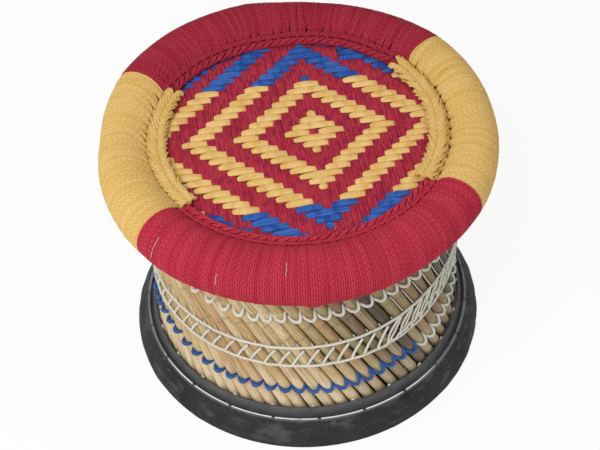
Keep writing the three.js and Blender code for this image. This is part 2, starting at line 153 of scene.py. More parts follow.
# Shader sums.
class Value:
    """A value in a node tree, so that plain sums build its nodes."""

    def __init__(self, nodes, socket):
        self.nodes = nodes
        self.socket = socket

    def sum(self, operation, first, second=0.0, clamp=False):
        settings = {"operation": operation, "use_clamp": clamp}
        return self.nodes.node("ShaderNodeMath", settings, {0: first, 1: second})

    def __add__(self, other):
        return self.sum("ADD", self, other)

    def __sub__(self, other):
        return self.sum("SUBTRACT", self, other)

    def __rsub__(self, other):
        return self.sum("SUBTRACT", other, self)

    def __mul__(self, other):
        return self.sum("MULTIPLY", self, other)

    __rmul__ = __mul__

    def __truediv__(self, other):
        return self.sum("DIVIDE", self, other)

    def __pow__(self, other):
        return self.sum("POWER", self, other)

    def sine(self):
        return self.sum("SINE", self)

    def fraction(self):
        return self.sum("FRACT", self)

    def size(self):
        return self.sum("ABSOLUTE", self)

    def most(self, other):
        return self.sum("MAXIMUM", self, other)

    def held(self):
        """Kept between 0 and 1."""
        return self.sum("ADD", self, 0.0, clamp=True)

    def ramp(self, low, high):
        """0 at low, 1 at high, straight between and held outside."""
        settings = {"clamp": True}
        inputs = {"Value": self, "From Min": low, "From Max": high, "To Min": 0.0, "To Max": 1.0}
        return self.nodes.node("ShaderNodeMapRange", settings, inputs)

    def near(self, middle, edge, core):
        """1 within core of the middle and 0 past edge."""
        return (self - middle).size().ramp(edge, core)


class Nodes:
    """The nodes of a material or of the world, and the one way to add one."""

    def __init__(self, tree):
        self.tree = tree

    def node(self, kind, settings=None, inputs=None, out=0):
        made = self.tree.nodes.new(kind)
        for key, value in (settings or {}).items():
            if key == "stops":
                self.set_stops(made.color_ramp.elements, value)
            else:
                setattr(made, key, value)
        for key, value in (inputs or {}).items():
            self.feed(made.inputs[key], value)
        return Value(self, made.outputs[out]) if len(made.outputs) else None

    def set_stops(self, elements, stops):
        while len(elements) > 1:
            elements.remove(elements[-1])
        for number, (place, colour) in enumerate(stops):
            stop = elements.new(place) if number else elements[0]
            stop.position = place
            stop.color = colour

    def feed(self, socket, value):
        if isinstance(value, Value):
            self.tree.links.new(value.socket, socket)
        else:
            socket.default_value = value


class Finish(Nodes):
    """A procedural material."""

    def __init__(self, name, roughness, specular):
        self.material = bpy.data.materials.new(name)
        self.material.use_nodes = True
        super().__init__(self.material.node_tree)
        self.shader = next(n for n in self.tree.nodes if n.type == "BSDF_PRINCIPLED")
        self.shader.inputs["Roughness"].default_value = roughness
        self.shader.inputs["Specular IOR Level"].default_value = specular
        self.places = None

    def place(self):
        if self.places is None:
            self.places = self.node("ShaderNodeTexCoord", out="Object")
        return self.places

    def surface(self):
        """The piece's own map: metres along in x, a turn around in y."""
        return self.node("ShaderNodeUVMap", {"uv_map": "UVMap"})

    def parts(self, vector):
        split = self.node("ShaderNodeSeparateXYZ", None, {0: vector}).socket.node
        return [Value(self, output) for output in split.outputs]

    def together(self, x, y, z=0.0):
        return self.node("ShaderNodeCombineXYZ", None, {0: x, 1: y, 2: z})

    def stretched(self, vector, scale, shift=(0.0, 0.0, 0.0)):
        inputs = {"Vector": vector, "Scale": scale, "Location": shift}
        return self.node("ShaderNodeMapping", None, inputs)

    def noise(self, scale, detail, vector=None, rough=0.5):
        inputs = {"Vector": vector or self.place(), "Scale": scale, "Detail": detail, "Roughness": rough}
        return self.node("ShaderNodeTexNoise", None, inputs)

    def own(self, name):
        """A number that the piece carries on its mesh."""
        return self.node("ShaderNodeAttribute", {"attribute_name": name}, out="Fac")

    def mix(self, share, first, second, way="MIX"):
        settings = {"data_type": "RGBA", "blend_type": way}
        return self.node("ShaderNodeMix", settings, {0: share, 6: first, 7: second}, out=2)

    def paint(self, colour):
        self.feed(self.shader.inputs["Base Color"], colour)

    def dull(self, amount):
        self.feed(self.shader.inputs["Roughness"], amount)

    def relief(self, height, depth, strength=1.0):
        inputs = {"Height": height, "Distance": depth, "Strength": strength}
        self.feed(self.shader.inputs["Normal"], self.node("ShaderNodeBump", None, inputs, out="Normal"))


def yarn_finish(name, colour, dark, light, furrows=0.5):
    """Cotton yarn: twisted plies with painted shade in their furrows, fuzz, and a tone of its own for each
    strand. Strands with a tone under 0 are the hidden winding below, painted dark as shade, and the ones over
    1 are loose pale fibres."""
    finish = Finish(name, roughness=0.95, specular=0.12)
    along, around, _ = finish.parts(finish.surface())
    strand = finish.own("tone")
    hand = finish.own("hand")
    twist = (turn * (around * 2 + along * hand / yarn_lay + strand * 7)).sine() * 0.5 + 0.5
    furrow_shade = (1 - twist) ** 2.0
    fuzz = finish.noise(1500, 3)
    patch = finish.noise(28, 3)
    shade = (0.34 * strand + 0.36 * patch + 0.3 * fuzz).ramp(0.25, 0.72)
    base = finish.mix(shade, colour, light)
    # Painted shade in the furrows between the plies, with darker fuzz.
    base = finish.mix((furrow_shade * furrows + (0.55 - fuzz).held() * 0.6).held(), base, dark)
    # Painted shade: strands with a tone under 0, the hidden winding seen between the turns, are painted dark.
    base = finish.mix(strand.ramp(0.0, -0.5) * 0.7, base, dark)
    base = finish.mix(strand.ramp(1.4, 1.6) * 0.8, base, srgb(236, 196, 192))
    finish.paint(base)
    finish.relief(twist * 0.75 + fuzz * 0.35, 0.35 * mm)
    return finish.material


def rope_finish(name, colour, dark, light, tint, lanes, furrows, side_shade_share):
    """Soft seat rope: smooth, with shallow furrows that run along it, painted shade in them and painted shade
    along each side.
    """
    finish = Finish(name, roughness=0.9, specular=0.15)
    along, around, _ = finish.parts(finish.surface())
    strand = finish.own("tone")
    wander = finish.noise(1.0, 2, finish.together(along * 60 + strand * 40, around * 3))
    lane = (turn * (around * lanes + wander * 0.5 + strand)).sine() * 0.5 + 0.5
    fibre = finish.noise(1.0, 3, finish.together(along * 260 + strand * 30, around * 30))
    patch = finish.noise(45, 2)
    base = finish.mix((0.3 * strand + 0.35 * patch + 0.35 * fibre).ramp(0.25, 0.75), colour, light)
    stain = finish.noise(1.0, 2, finish.together(along * 95 + strand * 70, around * 1.6 + strand * 11))
    base = finish.mix(stain.ramp(0.48, 0.64) * 0.75, base, tint)
    base = finish.mix(stain.ramp(0.42, 0.3) * 0.6, base, light)
    # Painted shade in the furrows between the rope's lanes, with darker fibres.
    base = finish.mix(((1 - lane) ** 3.0 * furrows + (0.5 - fibre).held() * 0.5).held(), base, dark)
    # Painted shade along both sides of the rope, where it meets its neighbours.
    seam = (around * 2 + 0.5).fraction().near(0.5, 0.1, 0.02)
    base = finish.mix(seam * side_shade_share, base, dark)
    finish.paint(base)
    finish.relief(lane * 0.3 + fibre * 0.4, 0.18 * mm)
    return finish.material


def reed_finish(name, pale, tan, brown, pink):
    """Dry reed: streaks along the stick, blotches and a tone of its own for each reed, with painted light
    towards the feet and painted shade higher up and on the reeds that carry it.
    """
    finish = Finish(name, roughness=0.55, specular=0.3)
    along, around, _ = finish.parts(finish.surface())
    strand = finish.own("tone")
    lane = finish.together(along * 14 + strand * 90, around * 9 + strand * 31)
    streak = finish.noise(3.0, 4, lane, 0.6)
    fine = finish.noise(9.0, 3, finish.together(along * 10, around * 26 + strand * 17))
    blotch = finish.noise(1.0, 2, finish.together(along * 26 + strand * 50, around * 2.2 + strand * 9))
    green, cream, grey = srgb(204, 190, 132), srgb(228, 208, 164), srgb(172, 148, 114)
    stops = (
        (0.0, brown), (0.12, tan), (0.3, pale), (0.42, green), (0.54, tan),
        (0.66, pink), (0.78, cream), (0.9, pale), (1.0, grey),
    )
    own_hue = (strand * 0.86 + streak * 0.2 - 0.03).held()
    hue = finish.node("ShaderNodeValToRGB", {"stops": stops}, {0: own_hue})
    base = finish.mix(blotch.ramp(0.52, 0.78) * 0.45, hue, pink)
    base = finish.mix(blotch.ramp(0.38, 0.2) * 0.6, base, brown)
    base = finish.mix(streak.ramp(0.54, 0.27) * 0.75, base, brown, "MULTIPLY")
    spot = finish.noise(1.0, 3, finish.together(along * 150 + strand * 20, around * 5 + strand * 40))
    spotted = (strand * 9).fraction().ramp(0.8, 0.85)
    base = finish.mix(spot.ramp(0.66, 0.72) * spotted * 0.6, base, srgb(190, 84, 72))
    crack = (around + (strand * 13).fraction() * 0.5 + streak * 0.03).fraction().near(0.5, 0.016, 0.005)
    cracked = (strand * 5).fraction().ramp(0.1, 0.2)
    base = finish.mix(crack * cracked * 0.85, base, srgb(84, 58, 38))
    base = finish.mix(finish.own("knot") * 0.55, base, brown)
    height = finish.parts(finish.place())[2]
    # Painted light: the reeds are lighter towards their feet, against the shade that falls there.
    base = finish.mix(height.ramp(100 * mm, 55 * mm) * 0.42, base, srgb(228, 212, 184))
    # Painted shade: each reed's own share of shade, for the right side and the inner layer, and more higher
    # up.
    painted_shade = (finish.own("shade") + height.ramp(70 * mm, 110 * mm) * 0.15).held()
    base = finish.mix(painted_shade, base, srgb(104, 102, 106), "MULTIPLY")
    finish.paint(base)
    finish.dull(fine * 0.3 + 0.42)
    finish.relief(fine * 0.6 + streak * 0.4, 0.35 * mm, 0.8)
    return finish.material


def cord_finish(name, colour, dark, grime):
    """Twisted cord, a little soiled, with painted shade in its twist's furrows."""
    finish = Finish(name, roughness=0.5, specular=0.35)
    along, around, _ = finish.parts(finish.surface())
    twist = (turn * (around * 2 + along / cord_lay)).sine() * 0.5 + 0.5
    fuzz = finish.noise(1100, 2)
    patch = finish.noise(60, 3)
    base = finish.mix(patch.ramp(0.35, 0.75) * 0.5, colour, grime)
    # Painted shade in the furrows of the twist.
    base = finish.mix((1 - twist) ** 2.0 * 0.25, base, dark)
    finish.paint(finish.mix(fuzz.ramp(0.5, 0.75) * 0.25, base, dark))
    finish.relief(twist * 0.5 + fuzz * 0.3, 0.2 * mm)
    return finish.material


def grass_finish(name, colour, dark, light):
    """Bundled grass: fibres that run along each strand."""
    finish = Finish(name, roughness=0.85, specular=0.2)
    along, around, _ = finish.parts(finish.surface())
    strand = finish.own("tone")
    fibre = finish.noise(6.0, 3, finish.together(along * 30 + strand * 40, around * 22 + strand * 7))
    base = finish.mix((fibre * 0.6 + strand * 0.4).ramp(0.3, 0.7), colour, light)
    finish.paint(finish.mix(fibre.ramp(0.5, 0.2), base, dark))
    finish.relief(fibre, 0.6 * mm)
    return finish.material


def bamboo_finish(name):
    """Split bamboo: fibres that run round the hoop."""
    finish = Finish(name, roughness=0.5, specular=0.4)
    x, y, z = finish.parts(finish.place())
    radius = (x * x + y * y) ** 0.5
    lane = finish.together(radius * 900, z * 900, finish.noise(7, 2) * 2)
    fibre = finish.noise(1.0, 3, lane)
    patch = finish.noise(18, 3)
    base = finish.mix(patch.ramp(0.3, 0.7), srgb(196, 158, 96), srgb(160, 118, 66))
    finish.paint(finish.mix(fibre.ramp(0.55, 0.3) * 0.6, base, srgb(96, 66, 36)))
    finish.dull(fibre * 0.3 + 0.4)
    finish.relief(fibre, 0.3 * mm)
    return finish.material


def rubber_finish(name):
    """Worn tyre rubber: dark grey with scuffs and darker towards the foot; a painted highlight line on the
    ridge, brightest in front, on a ridge lighter with wear and painted highlight; painted shade and painted
    light in the groove; a rubbed lip, partly painted light.
    """
    finish = Finish(name, roughness=0.6, specular=0.3)
    x, y, z = finish.parts(finish.place())
    radius = (x * x + y * y) ** 0.5
    dust = finish.noise(24, 5, rough=0.65)
    grain = finish.noise(700, 3)
    rub = finish.noise(1.0, 4, finish.stretched(finish.place(), (70, 70, 260)), 0.7)
    smear = finish.noise(1.0, 3, finish.stretched(finish.place(), (34, 34, 90), (3.0, 1.0, 0.0)))
    near_black = srgb(22, 22, 24)
    base = finish.mix(dust.ramp(0.35, 0.7), srgb(28, 28, 30), srgb(51, 51, 54))
    base = finish.mix(smear.ramp(0.52, 0.68) * z.ramp(4 * mm, 12 * mm) * 0.4, base, srgb(98, 99, 102))
    base = finish.mix(rub.ramp(0.64, 0.72) * z.ramp(4 * mm, 10 * mm) * 0.6, base, srgb(132, 133, 136))
    # Darker towards the foot.
    base = finish.mix(z.ramp(6 * mm, 1 * mm) * 0.7, base, near_black)
    # Painted shade: the bottom of the groove is darkened a little.
    groove = radius.near(182.5 * mm, 2.6 * mm, 0.6 * mm) * z.ramp(36.5 * mm, 33 * mm)
    base = finish.mix(groove * 0.1, base, near_black)
    # Painted light: the groove is lightened against the shade that the rim's roll casts into it.
    inside = radius.ramp(184.5 * mm, 183 * mm) * z.ramp(28 * mm, 33 * mm)
    base = finish.mix(inside * (dust.ramp(0.3, 0.6) * 0.3 + 0.4), base, srgb(82, 82, 84))
    # The lip is lighter grey, partly rubbed wear and partly painted light against its shade.
    lip = z.ramp(34 * mm, 41.5 * mm) * radius.ramp(183.5 * mm, 181.5 * mm)
    base = finish.mix(lip * (rub.ramp(0.4, 0.65) * 0.7 + 0.15), base, srgb(92, 92, 92))
    # The ridge top is lighter grey, partly with wear and partly as painted highlight next to the white line.
    worn_and_lit_ridge = z.near(32.5 * mm, 2.2 * mm, 0.8 * mm) * radius.near(186 * mm, 2.6 * mm, 1 * mm)
    base = finish.mix(worn_and_lit_ridge * (dust.ramp(0.3, 0.6) * 0.5 + 0.25), base, srgb(120, 121, 124))
    # Painted highlight: the white line on the ridge stands for a glint, brightest in front and fading to the
    # sides.
    front = ((x * -0.13 - y).ramp(0.1, 0.132) * 0.85 + 0.15) * (dust.ramp(0.25, 0.45) * 0.3 + 0.7)
    line = z.near(33.2 * mm, 0.6 * mm, 0.3 * mm) * radius.near(185.6 * mm, 1 * mm, 0.6 * mm)
    base = finish.mix(line * front * rub.ramp(0.72, 0.6), base, srgb(246, 246, 246))
    finish.paint(base)
    finish.dull(0.74 - line * 0.25 + dust * 0.16)
    finish.relief(grain * 0.5 + dust * 0.8 + rub * 0.4, 0.4 * mm)
    return finish.material


# Making pieces.
def only(piece):
    bpy.ops.object.select_all(action="DESELECT")
    piece.select_set(True)
    bpy.context.view_layer.objects.active = piece


def edit(piece):
    only(piece)
    bpy.ops.object.mode_set(mode="EDIT")
    bpy.ops.mesh.select_mode(type="VERT")
    bpy.ops.mesh.select_all(action="SELECT")


def leave():
    bpy.ops.object.mode_set(mode="OBJECT")


def joined(name, pieces):
    only(pieces[0])
    for piece in pieces:
        piece.select_set(True)
    bpy.ops.object.join()
    made = bpy.context.object
    made.name = name
    bpy.ops.object.transform_apply(location=True, rotation=True, scale=True)
    return made


def dress(piece, material, slot, *nodes):
    """Gives a piece its finish, puts it on the stool's body and lets it stand for the plain solids."""
    piece.data.materials.clear()
    piece.data.materials.append(material)
    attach(piece, "root")
    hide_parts(*nodes)


def carry(piece, name, values):
    """Writes a number for each vertex on the piece's mesh."""
    mesh = piece.data
    found = mesh.attributes.get(name) or mesh.attributes.new(name, "FLOAT", "POINT")
    found.data.foreach_set("value", np.asarray(values, np.float32))


def distances(points):
    """How far each point lies along its line."""
    return np.concatenate([[0], np.cumsum(np.linalg.norm(np.diff(points, axis=0), axis=1))])


def rounded(points, per_span, closed=False):
    """A smooth line through a few points."""
    points = np.asarray(points, float)
    count = len(points)
    made = []
    spans = count if closed else count - 1
    for span in range(spans):
        if closed:
            a, b, c, d = (points[(span + k) % count] for k in (-1, 0, 1, 2))
        else:
            b, c = points[span], points[span + 1]
            a = points[span - 1] if span else 2 * b - c
            d = points[span + 2] if span + 2 < count else 2 * c - b
        for step in range(per_span):
            t = step / per_span
            square, cube = 2 * a - 5 * b + 4 * c - d, 3 * b - a - 3 * c + d
            made.append(0.5 * (2 * b + (c - a) * t + square * t * t + cube * t**3))
    if not closed:
        made.append(points[-1])
    return np.array(made)


def lay_strands(name, strands, sides=6, section=None):
    """Lays strands along their lines and makes them one mesh. A strand has points, a thickness, a tone
    and whether it is closed. Its map runs in metres along the strand and one turn around it."""
    bpy.ops.object.select_all(action="DESELECT")
    bpy.ops.curve.primitive_bezier_curve_add()
    piece = bpy.context.object
    piece.name = name
    line = piece.data
    line.splines.clear()
    line.dimensions = "3D"
    if section:
        line.bevel_mode = "OBJECT"
        line.bevel_object = section
        line.twist_mode = "Z_UP"
        sides = len(section.data.splines[0].points)
    else:
        line.bevel_depth = 1.0
        line.bevel_resolution = (sides - 4) // 2
    for strand in strands:
        points = np.asarray(strand["points"], float)
        spline = line.splines.new("POLY")
        spline.points.add(len(points) - 1)
        spline.points.foreach_set("co", np.column_stack([points, np.ones(len(points))]).ravel())
        thickness = np.broadcast_to(strand["thickness"], len(points)).astype(float)
        spline.points.foreach_set("radius", thickness)
        spline.use_cyclic_u = strand.get("closed", False)
    only(piece)
    bpy.ops.object.convert(target="MESH")
    piece = bpy.context.object
    mesh = piece.data
    map_places, tones, hands = [], [], []
    for strand in strands:
        points = np.asarray(strand["points"], float)
        closed = strand.get("closed", False)
        count = len(points)
        ends = np.vstack([points, points[:1]]) if closed else points
        along = distances(ends)
        spans = count if closed else count - 1
        first = np.repeat(along[:spans], sides)
        second = np.repeat(along[1 : spans + 1], sides)
        map_places.append(np.column_stack([first, second, second, first]).ravel())
        tones.append(np.repeat(np.broadcast_to(strand.get("tone", 0.5), count), sides))
        hands.append(np.repeat(np.broadcast_to(strand.get("hand", 1.0), count), sides))
    layer = mesh.uv_layers[0]
    layer.name = "UVMap"
    places = np.zeros(len(mesh.loops) * 2, np.float32)
    layer.data.foreach_get("uv", places)
    places = places.reshape(-1, 2)
    places[:, 0] = np.concatenate(map_places)
    layer.data.foreach_set("uv", places.ravel())
    carry(piece, "tone", np.concatenate(tones))
    carry(piece, "hand", np.concatenate(hands))
    edit(piece)
    bpy.ops.mesh.remove_doubles(threshold=1e-7)
    bpy.ops.mesh.normals_make_consistent(inside=False)
    leave()
    bpy.ops.object.shade_smooth()
    return piece


def oval_section(name, width, height, corners=8):
    """A flat oval to sweep along ropes that lie on each other."""
    bpy.ops.object.select_all(action="DESELECT")
    bpy.ops.curve.primitive_bezier_curve_add()
    piece = bpy.context.object
    piece.name = name
    line = piece.data
    line.splines.clear()
    line.dimensions = "2D"
    spline = line.splines.new("POLY")
    spline.points.add(corners - 1)
    for corner in range(corners):
        angle = turn * (corner + 0.5) / corners
        x, y = math.cos(angle) * width / 2, math.sin(angle) * height / 2
        spline.points[corner].co = (x, y, 0, 1)
    spline.use_cyclic_u = True
    return piece


def twisted(path, thickness, lay):
    """The two plies of a closed cord that is twisted round its own line. The thickness is the whole cord's
    radius."""
    ends = np.vstack([path, path[:1]])
    gone = distances(ends)
    length = gone[-1]
    turns = round(length / lay)
    marks = np.linspace(0, length, turns * 6, endpoint=False)
    centre = np.column_stack([np.interp(marks, gone, ends[:, axis]) for axis in range(3)])
    ahead = np.roll(centre, -1, axis=0) - np.roll(centre, 1, axis=0)
    ahead /= np.linalg.norm(ahead, axis=1)[:, None]
    out = centre * (1, 1, 0)
    out /= np.linalg.norm(out, axis=1)[:, None]
    out -= (out * ahead).sum(axis=1)[:, None] * ahead
    out /= np.linalg.norm(out, axis=1)[:, None]
    aside = np.cross(ahead, out)
    strands = []
    for ply in range(2):
        angle = (marks / length * turns * turn + turn * ply / 2)[:, None]
        points = centre + thickness * 0.42 * (np.cos(angle) * out + np.sin(angle) * aside)
        strands.append({"points": points, "thickness": thickness * 0.62, "closed": True})
    return strands


def pointed(points, thickness, tone=0.5):
    """An open strand whose two ends draw to a point."""
    widths = np.broadcast_to(thickness, len(points)).astype(float)
    widths[0] = widths[-1] = 0
    return {"points": points, "thickness": widths, "tone": tone}


def turned_ring(name, outline, steps):
    """A ring from a closed outline of (radius, height), spun about the stool's axis."""
    bpy.ops.object.select_all(action="DESELECT")
    bpy.ops.mesh.primitive_circle_add(vertices=len(outline), radius=1.0, fill_type="NOTHING")
    piece = bpy.context.object
    piece.name = name
    for vertex, (radius, height) in zip(piece.data.vertices, outline):
        vertex.co = (radius, 0, height)
    edit(piece)
    bpy.ops.mesh.spin(steps=steps, angle=turn, center=(0, 0, 0), axis=(0, 0, 1))
    bpy.ops.mesh.select_all(action="SELECT")
    bpy.ops.mesh.remove_doubles(threshold=1e-6)
    bpy.ops.mesh.normals_make_consistent(inside=False)
    leave()
    bpy.ops.object.shade_smooth()
    return piece


# Reeds.
def layer_turn(waist, lean, height):
    return lean * math.atan2((height - waist_height) * slant_rise, waist)


def layer_radius(waist, height):
    return math.hypot(waist, (height - waist_height) * slant_rise)


def on_reeds(reed, share, height, lift):
    """A point over the outer reeds. The share counts pitches from a reed's middle."""
    azimuth = first_reed + (reed + share) * reed_pitch + layer_turn(outer_waist, -1, height)
    return polar(layer_radius(outer_waist, height) + lift, azimuth, height)


def reed_pattern(number, draw, head_height):
    """One reed on the Z axis with its waist at 0: knots, a slight bow and pithy cut ends."""
    low = (foot_height - waist_height) / math.cos(reed_slant)
    high = (head_height - waist_height) / math.cos(reed_slant)
    knot_reach, knot_core = 2.6 * mm, 0.5 * mm
    bpy.ops.object.select_all(action="DESELECT")
    middle = (0, 0, (low + high) / 2)
    bpy.ops.mesh.primitive_cylinder_add(
        vertices=12, radius=reed_radius, depth=high - low, end_fill_type="NGON", location=middle
    )
    piece = bpy.context.object
    piece.name = f"reed_pattern_{number}"
    bpy.ops.object.transform_apply(location=True)
    edit(piece)
    bpy.ops.mesh.select_mode(type="FACE")
    knots = sorted(low + (high - low) * (draw.uniform(0.12, 0.3) + 0.42 * k) for k in range(2))
    cuts = [knot + step for knot in knots for step in (-knot_reach, 0, knot_reach)]
    for cut in (*cuts, (low + high) / 2):
        bpy.ops.mesh.select_all(action="SELECT")
        bpy.ops.mesh.bisect(plane_co=(0, 0, cut), plane_no=(0, 0, 1), use_fill=False)
    leave()
    bow = draw.uniform(-1.2, 1.2) * mm
    sway = draw.uniform(0, turn)
    swell = {knot: draw.uniform(1.05, 1.12) for knot in knots}
    for vertex in piece.data.vertices:
        z = vertex.co.z
        scale = next((swell[knot] for knot in knots if abs(z - knot) < knot_core), 1.0)
        bend = bow * math.sin(math.pi * (z - low) / (high - low))
        vertex.co.x = vertex.co.x * scale + bend * math.cos(sway)
        vertex.co.y = vertex.co.y * scale + bend * math.sin(sway)
    for face in piece.data.polygons:
        face.select = abs(face.normal.z) > 0.9
    only(piece)
    bpy.ops.object.mode_set(mode="EDIT")
    bpy.ops.mesh.select_mode(type="FACE")
    bpy.ops.mesh.inset(thickness=2.2 * mm, depth=0)
    bpy.ops.mesh.inset(thickness=0.9 * mm, depth=-4 * mm)
    leave()
    heights = [vertex.co.z for vertex in piece.data.vertices]
    carry(piece, "knot", [float(any(abs(z - knot) < knot_core for knot in knots)) for z in heights])
    layer = piece.data.uv_layers[0]
    layer.name = "UVMap"
    for polygon in piece.data.polygons:
        middle = math.atan2(polygon.center.y, polygon.center.x) / turn
        for corner in polygon.loop_indices:
            vertex = piece.data.vertices[piece.data.loops[corner].vertex_index].co
            around = math.atan2(vertex.y, vertex.x) / turn
            layer.data[corner].uv = (vertex.z, around + round(middle - around))
    bpy.ops.object.shade_smooth_by_angle(angle=math.radians(40))
    return piece


def stand_reed(pattern, waist, lean, azimuth, depth, width, tilt):
    """A copy of a reed pattern, slanted in its place. Depth and width are shares of the round reed."""
    piece = pattern.copy()
    piece.data = pattern.data.copy()
    bpy.context.collection.objects.link(piece)
    out = Vector(polar(1, azimuth, 0))
    sideways = Vector(polar(1, azimuth + math.pi / 2, 0))
    slant = reed_slant + tilt
    along = lean * math.sin(slant) * sideways + math.cos(slant) * Vector((0, 0, 1))
    aside = along.cross(out)
    place = Matrix((out * depth, aside * width, along)).transposed().to_4x4()
    place.translation = Vector(polar(waist, azimuth, waist_height))
    piece.data.transform(place)
    return piece


def make_reeds(material):
    """Both layers, a few patterns copied to each place. The reeds on the right carry painted shade, more on
    some than on others, and the inner layer carries more of it.
    """
    draw = random.Random(11)
    dusk_azimuth = math.radians(-5)
    pattern_count = 6
    # The last column is the painted shade that all the reeds of a layer carry.
    for side, waist, lean, head, first, tone_range, shade in (
        ("outer", outer_waist, -1, outer_head_height, 0.0, (0.0, 1.0), 0.0),
        ("inner", inner_waist, 1, inner_head_height, inner_layer_share, (0.1, 0.9), 0.3),
    ):
        patterns = [reed_pattern(number, draw, head) for number in range(pattern_count)]
        for bundle in range(bundle_count):
            copies = []
            for number in range(bundle * reeds_per_bundle, (bundle + 1) * reeds_per_bundle):
                azimuth = first_reed + (first + number + draw.uniform(-0.03, 0.03)) * reed_pitch
                depth = draw.uniform(0.93, 1.0)
                width = draw.uniform(0.93, 1.02)
                pattern = patterns[draw.randrange(pattern_count)]
                middle = waist + draw.uniform(-0.5, 0.1) * mm
                tilt = math.radians(draw.uniform(-0.25, 0.25))
                piece = stand_reed(pattern, middle, lean, azimuth, depth, width, tilt)
                count = len(piece.data.vertices)
                carry(piece, "tone", np.full(count, draw.uniform(*tone_range)))
                # Painted shade, darker towards the right by a share that differs from reed to reed.
                right = max(0.0, math.cos(azimuth - dusk_azimuth))
                dusk = 1.15 * right**1.3 * draw.choice((0.55, 0.8, 1.0, 1.45))
                carry(piece, "shade", np.full(count, min(1.0, dusk + shade)))
                copies.append(piece)
            made = joined(f"{side}_reed_sticks_{bundle + 1:02d}", copies)
            dress(made, material, "reed", f"{side}_reeds_{bundle + 1:02d}")
        for pattern in patterns:
            bpy.data.objects.remove(pattern)


# Foot.
def make_tyre(material):
    """The ring cut from a tyre. Its outline, in mm, runs from the foot up the outside, over the ridge and
    the groove to the lip, and down the inside."""
    outline = [
        (199.9, 0.0), (200.9, 0.5), (201.4, 1.8), (201.4, 4.2), (201.0, 7.0), (200.3, 9.8),
        (198.9, 13.2), (197.0, 17.0), (194.9, 20.8), (192.6, 24.6), (190.4, 27.9), (188.4, 30.6),
        (187.2, 32.2), (186.4, 33.0), (185.5, 33.25), (184.7, 32.8), (183.9, 31.6), (183.1, 30.5),
        (182.3, 30.2), (181.5, 31.1), (180.8, 33.4), (180.0, 36.8), (179.2, 39.9), (178.2, 41.8),
        (176.9, 42.4), (175.9, 41.8), (175.6, 39.8), (176.6, 36.4), (180.9, 25.9), (185.6, 22.4),
        (189.6, 20.0), (191.6, 15.4), (193.0, 9.7), (193.2, 4.0), (193.3, 0.6), (194.0, 0.0),
    ]
    ridge_foot, ridge_inside = 31 * mm, 183.4 * mm
    lip_foot = 36 * mm
    side_inside, side_foot, side_top = 186 * mm, 1 * mm, 28 * mm
    tread_top = 9 * mm
    notches, steps_per_notch, steps_per_tread = 23, 20, 13
    first_notch = math.radians(-103.9)
    steps = notches * steps_per_notch
    piece = turned_ring("tyre_rubber_ring", [(radius * mm, height * mm) for radius, height in outline], steps)
    piece.data.transform(Matrix.Rotation(first_notch, 4, "Z"))
    draw = random.Random(5)
    waves = [(draw.randint(5, 60), draw.uniform(0, turn), draw.uniform(0.1, 0.35)) for _ in range(9)]
    for vertex in piece.data.vertices:
        x, y, z = vertex.co
        azimuth = math.atan2(y, x)
        radius = math.hypot(x, y)
        step = round((azimuth - first_notch) / turn * steps)
        wave = sum(size * math.sin(count * azimuth + start) for count, start, size in waves) * mm
        if z > ridge_foot and radius > ridge_inside and step % steps_per_notch == 0:
            z -= 1.8 * mm
            radius -= 0.4 * mm
        if z > lip_foot:
            z += wave * 1.2
            radius += wave * 0.3
        elif radius > side_inside and side_foot < z < side_top:
            radius += wave * 0.35
            if z < tread_top and step % steps_per_tread in (0, 1) and math.sin(3 * azimuth + 1) > -0.6:
                radius -= 0.9 * mm
        vertex.co = polar(radius, azimuth, z)
    dress(piece, material, "tyre_rubber", "tyre_ring")


def make_foot_roll(material):
    """Six twisted bundles of grass round a seventh, in a ring at the reeds' feet."""
    draw = random.Random(8)
    centre_radius, centre_height, spread = 184.6 * mm, 12 * mm, 3.4 * mm
    outer_bundles, points, twists = 6, 260, 15
    strands = []
    for number in range(outer_bundles + 1):
        reach = spread if number < outer_bundles else 0
        line = []
        for step in range(points):
            azimuth = turn * step / points
            angle = turn * number / outer_bundles + azimuth * twists
            height = centre_height + reach * math.sin(angle)
            line.append(polar(centre_radius + reach * math.cos(angle), azimuth, height))
        strands.append({"points": line, "thickness": 2.1 * mm, "closed": True, "tone": draw.random()})
    dress(lay_strands("foot_grass_roll", strands), material, "dry_grass", "foot_roll")


def make_lacing(material):
    """The white lacing that comes up over the tyre's lip in short upright stitches and runs hidden between
    them. A row holds a share of the pitch, a height and a radius."""
    stitches = 25
    first_stitch = math.radians(-90.2)
    pitch = turn / stitches
    hidden_height, hidden_radius = 35.5, 175.4
    stitch_rows = (
        (-0.2, hidden_height, hidden_radius), (-0.035, 39.4, 175.4), (-0.02, 43.2, 175.6),
        (0.005, 44.4, 175.9), (0.03, 42.8, 175.6), (0.05, 39.0, 175.4),
        (0.2, hidden_height, hidden_radius), (0.5, hidden_height, hidden_radius),
    )
    keys = []
    for stitch in range(stitches):
        for share, height, radius in stitch_rows:
            keys.append(polar(radius * mm, first_stitch + (stitch + share) * pitch, height * mm))
    strands = twisted(rounded(keys, 4, closed=True), 1.0 * mm, 6 * mm)
    dress(lay_strands("lip_lacing", strands), material, "white_cord", "base_lacing")


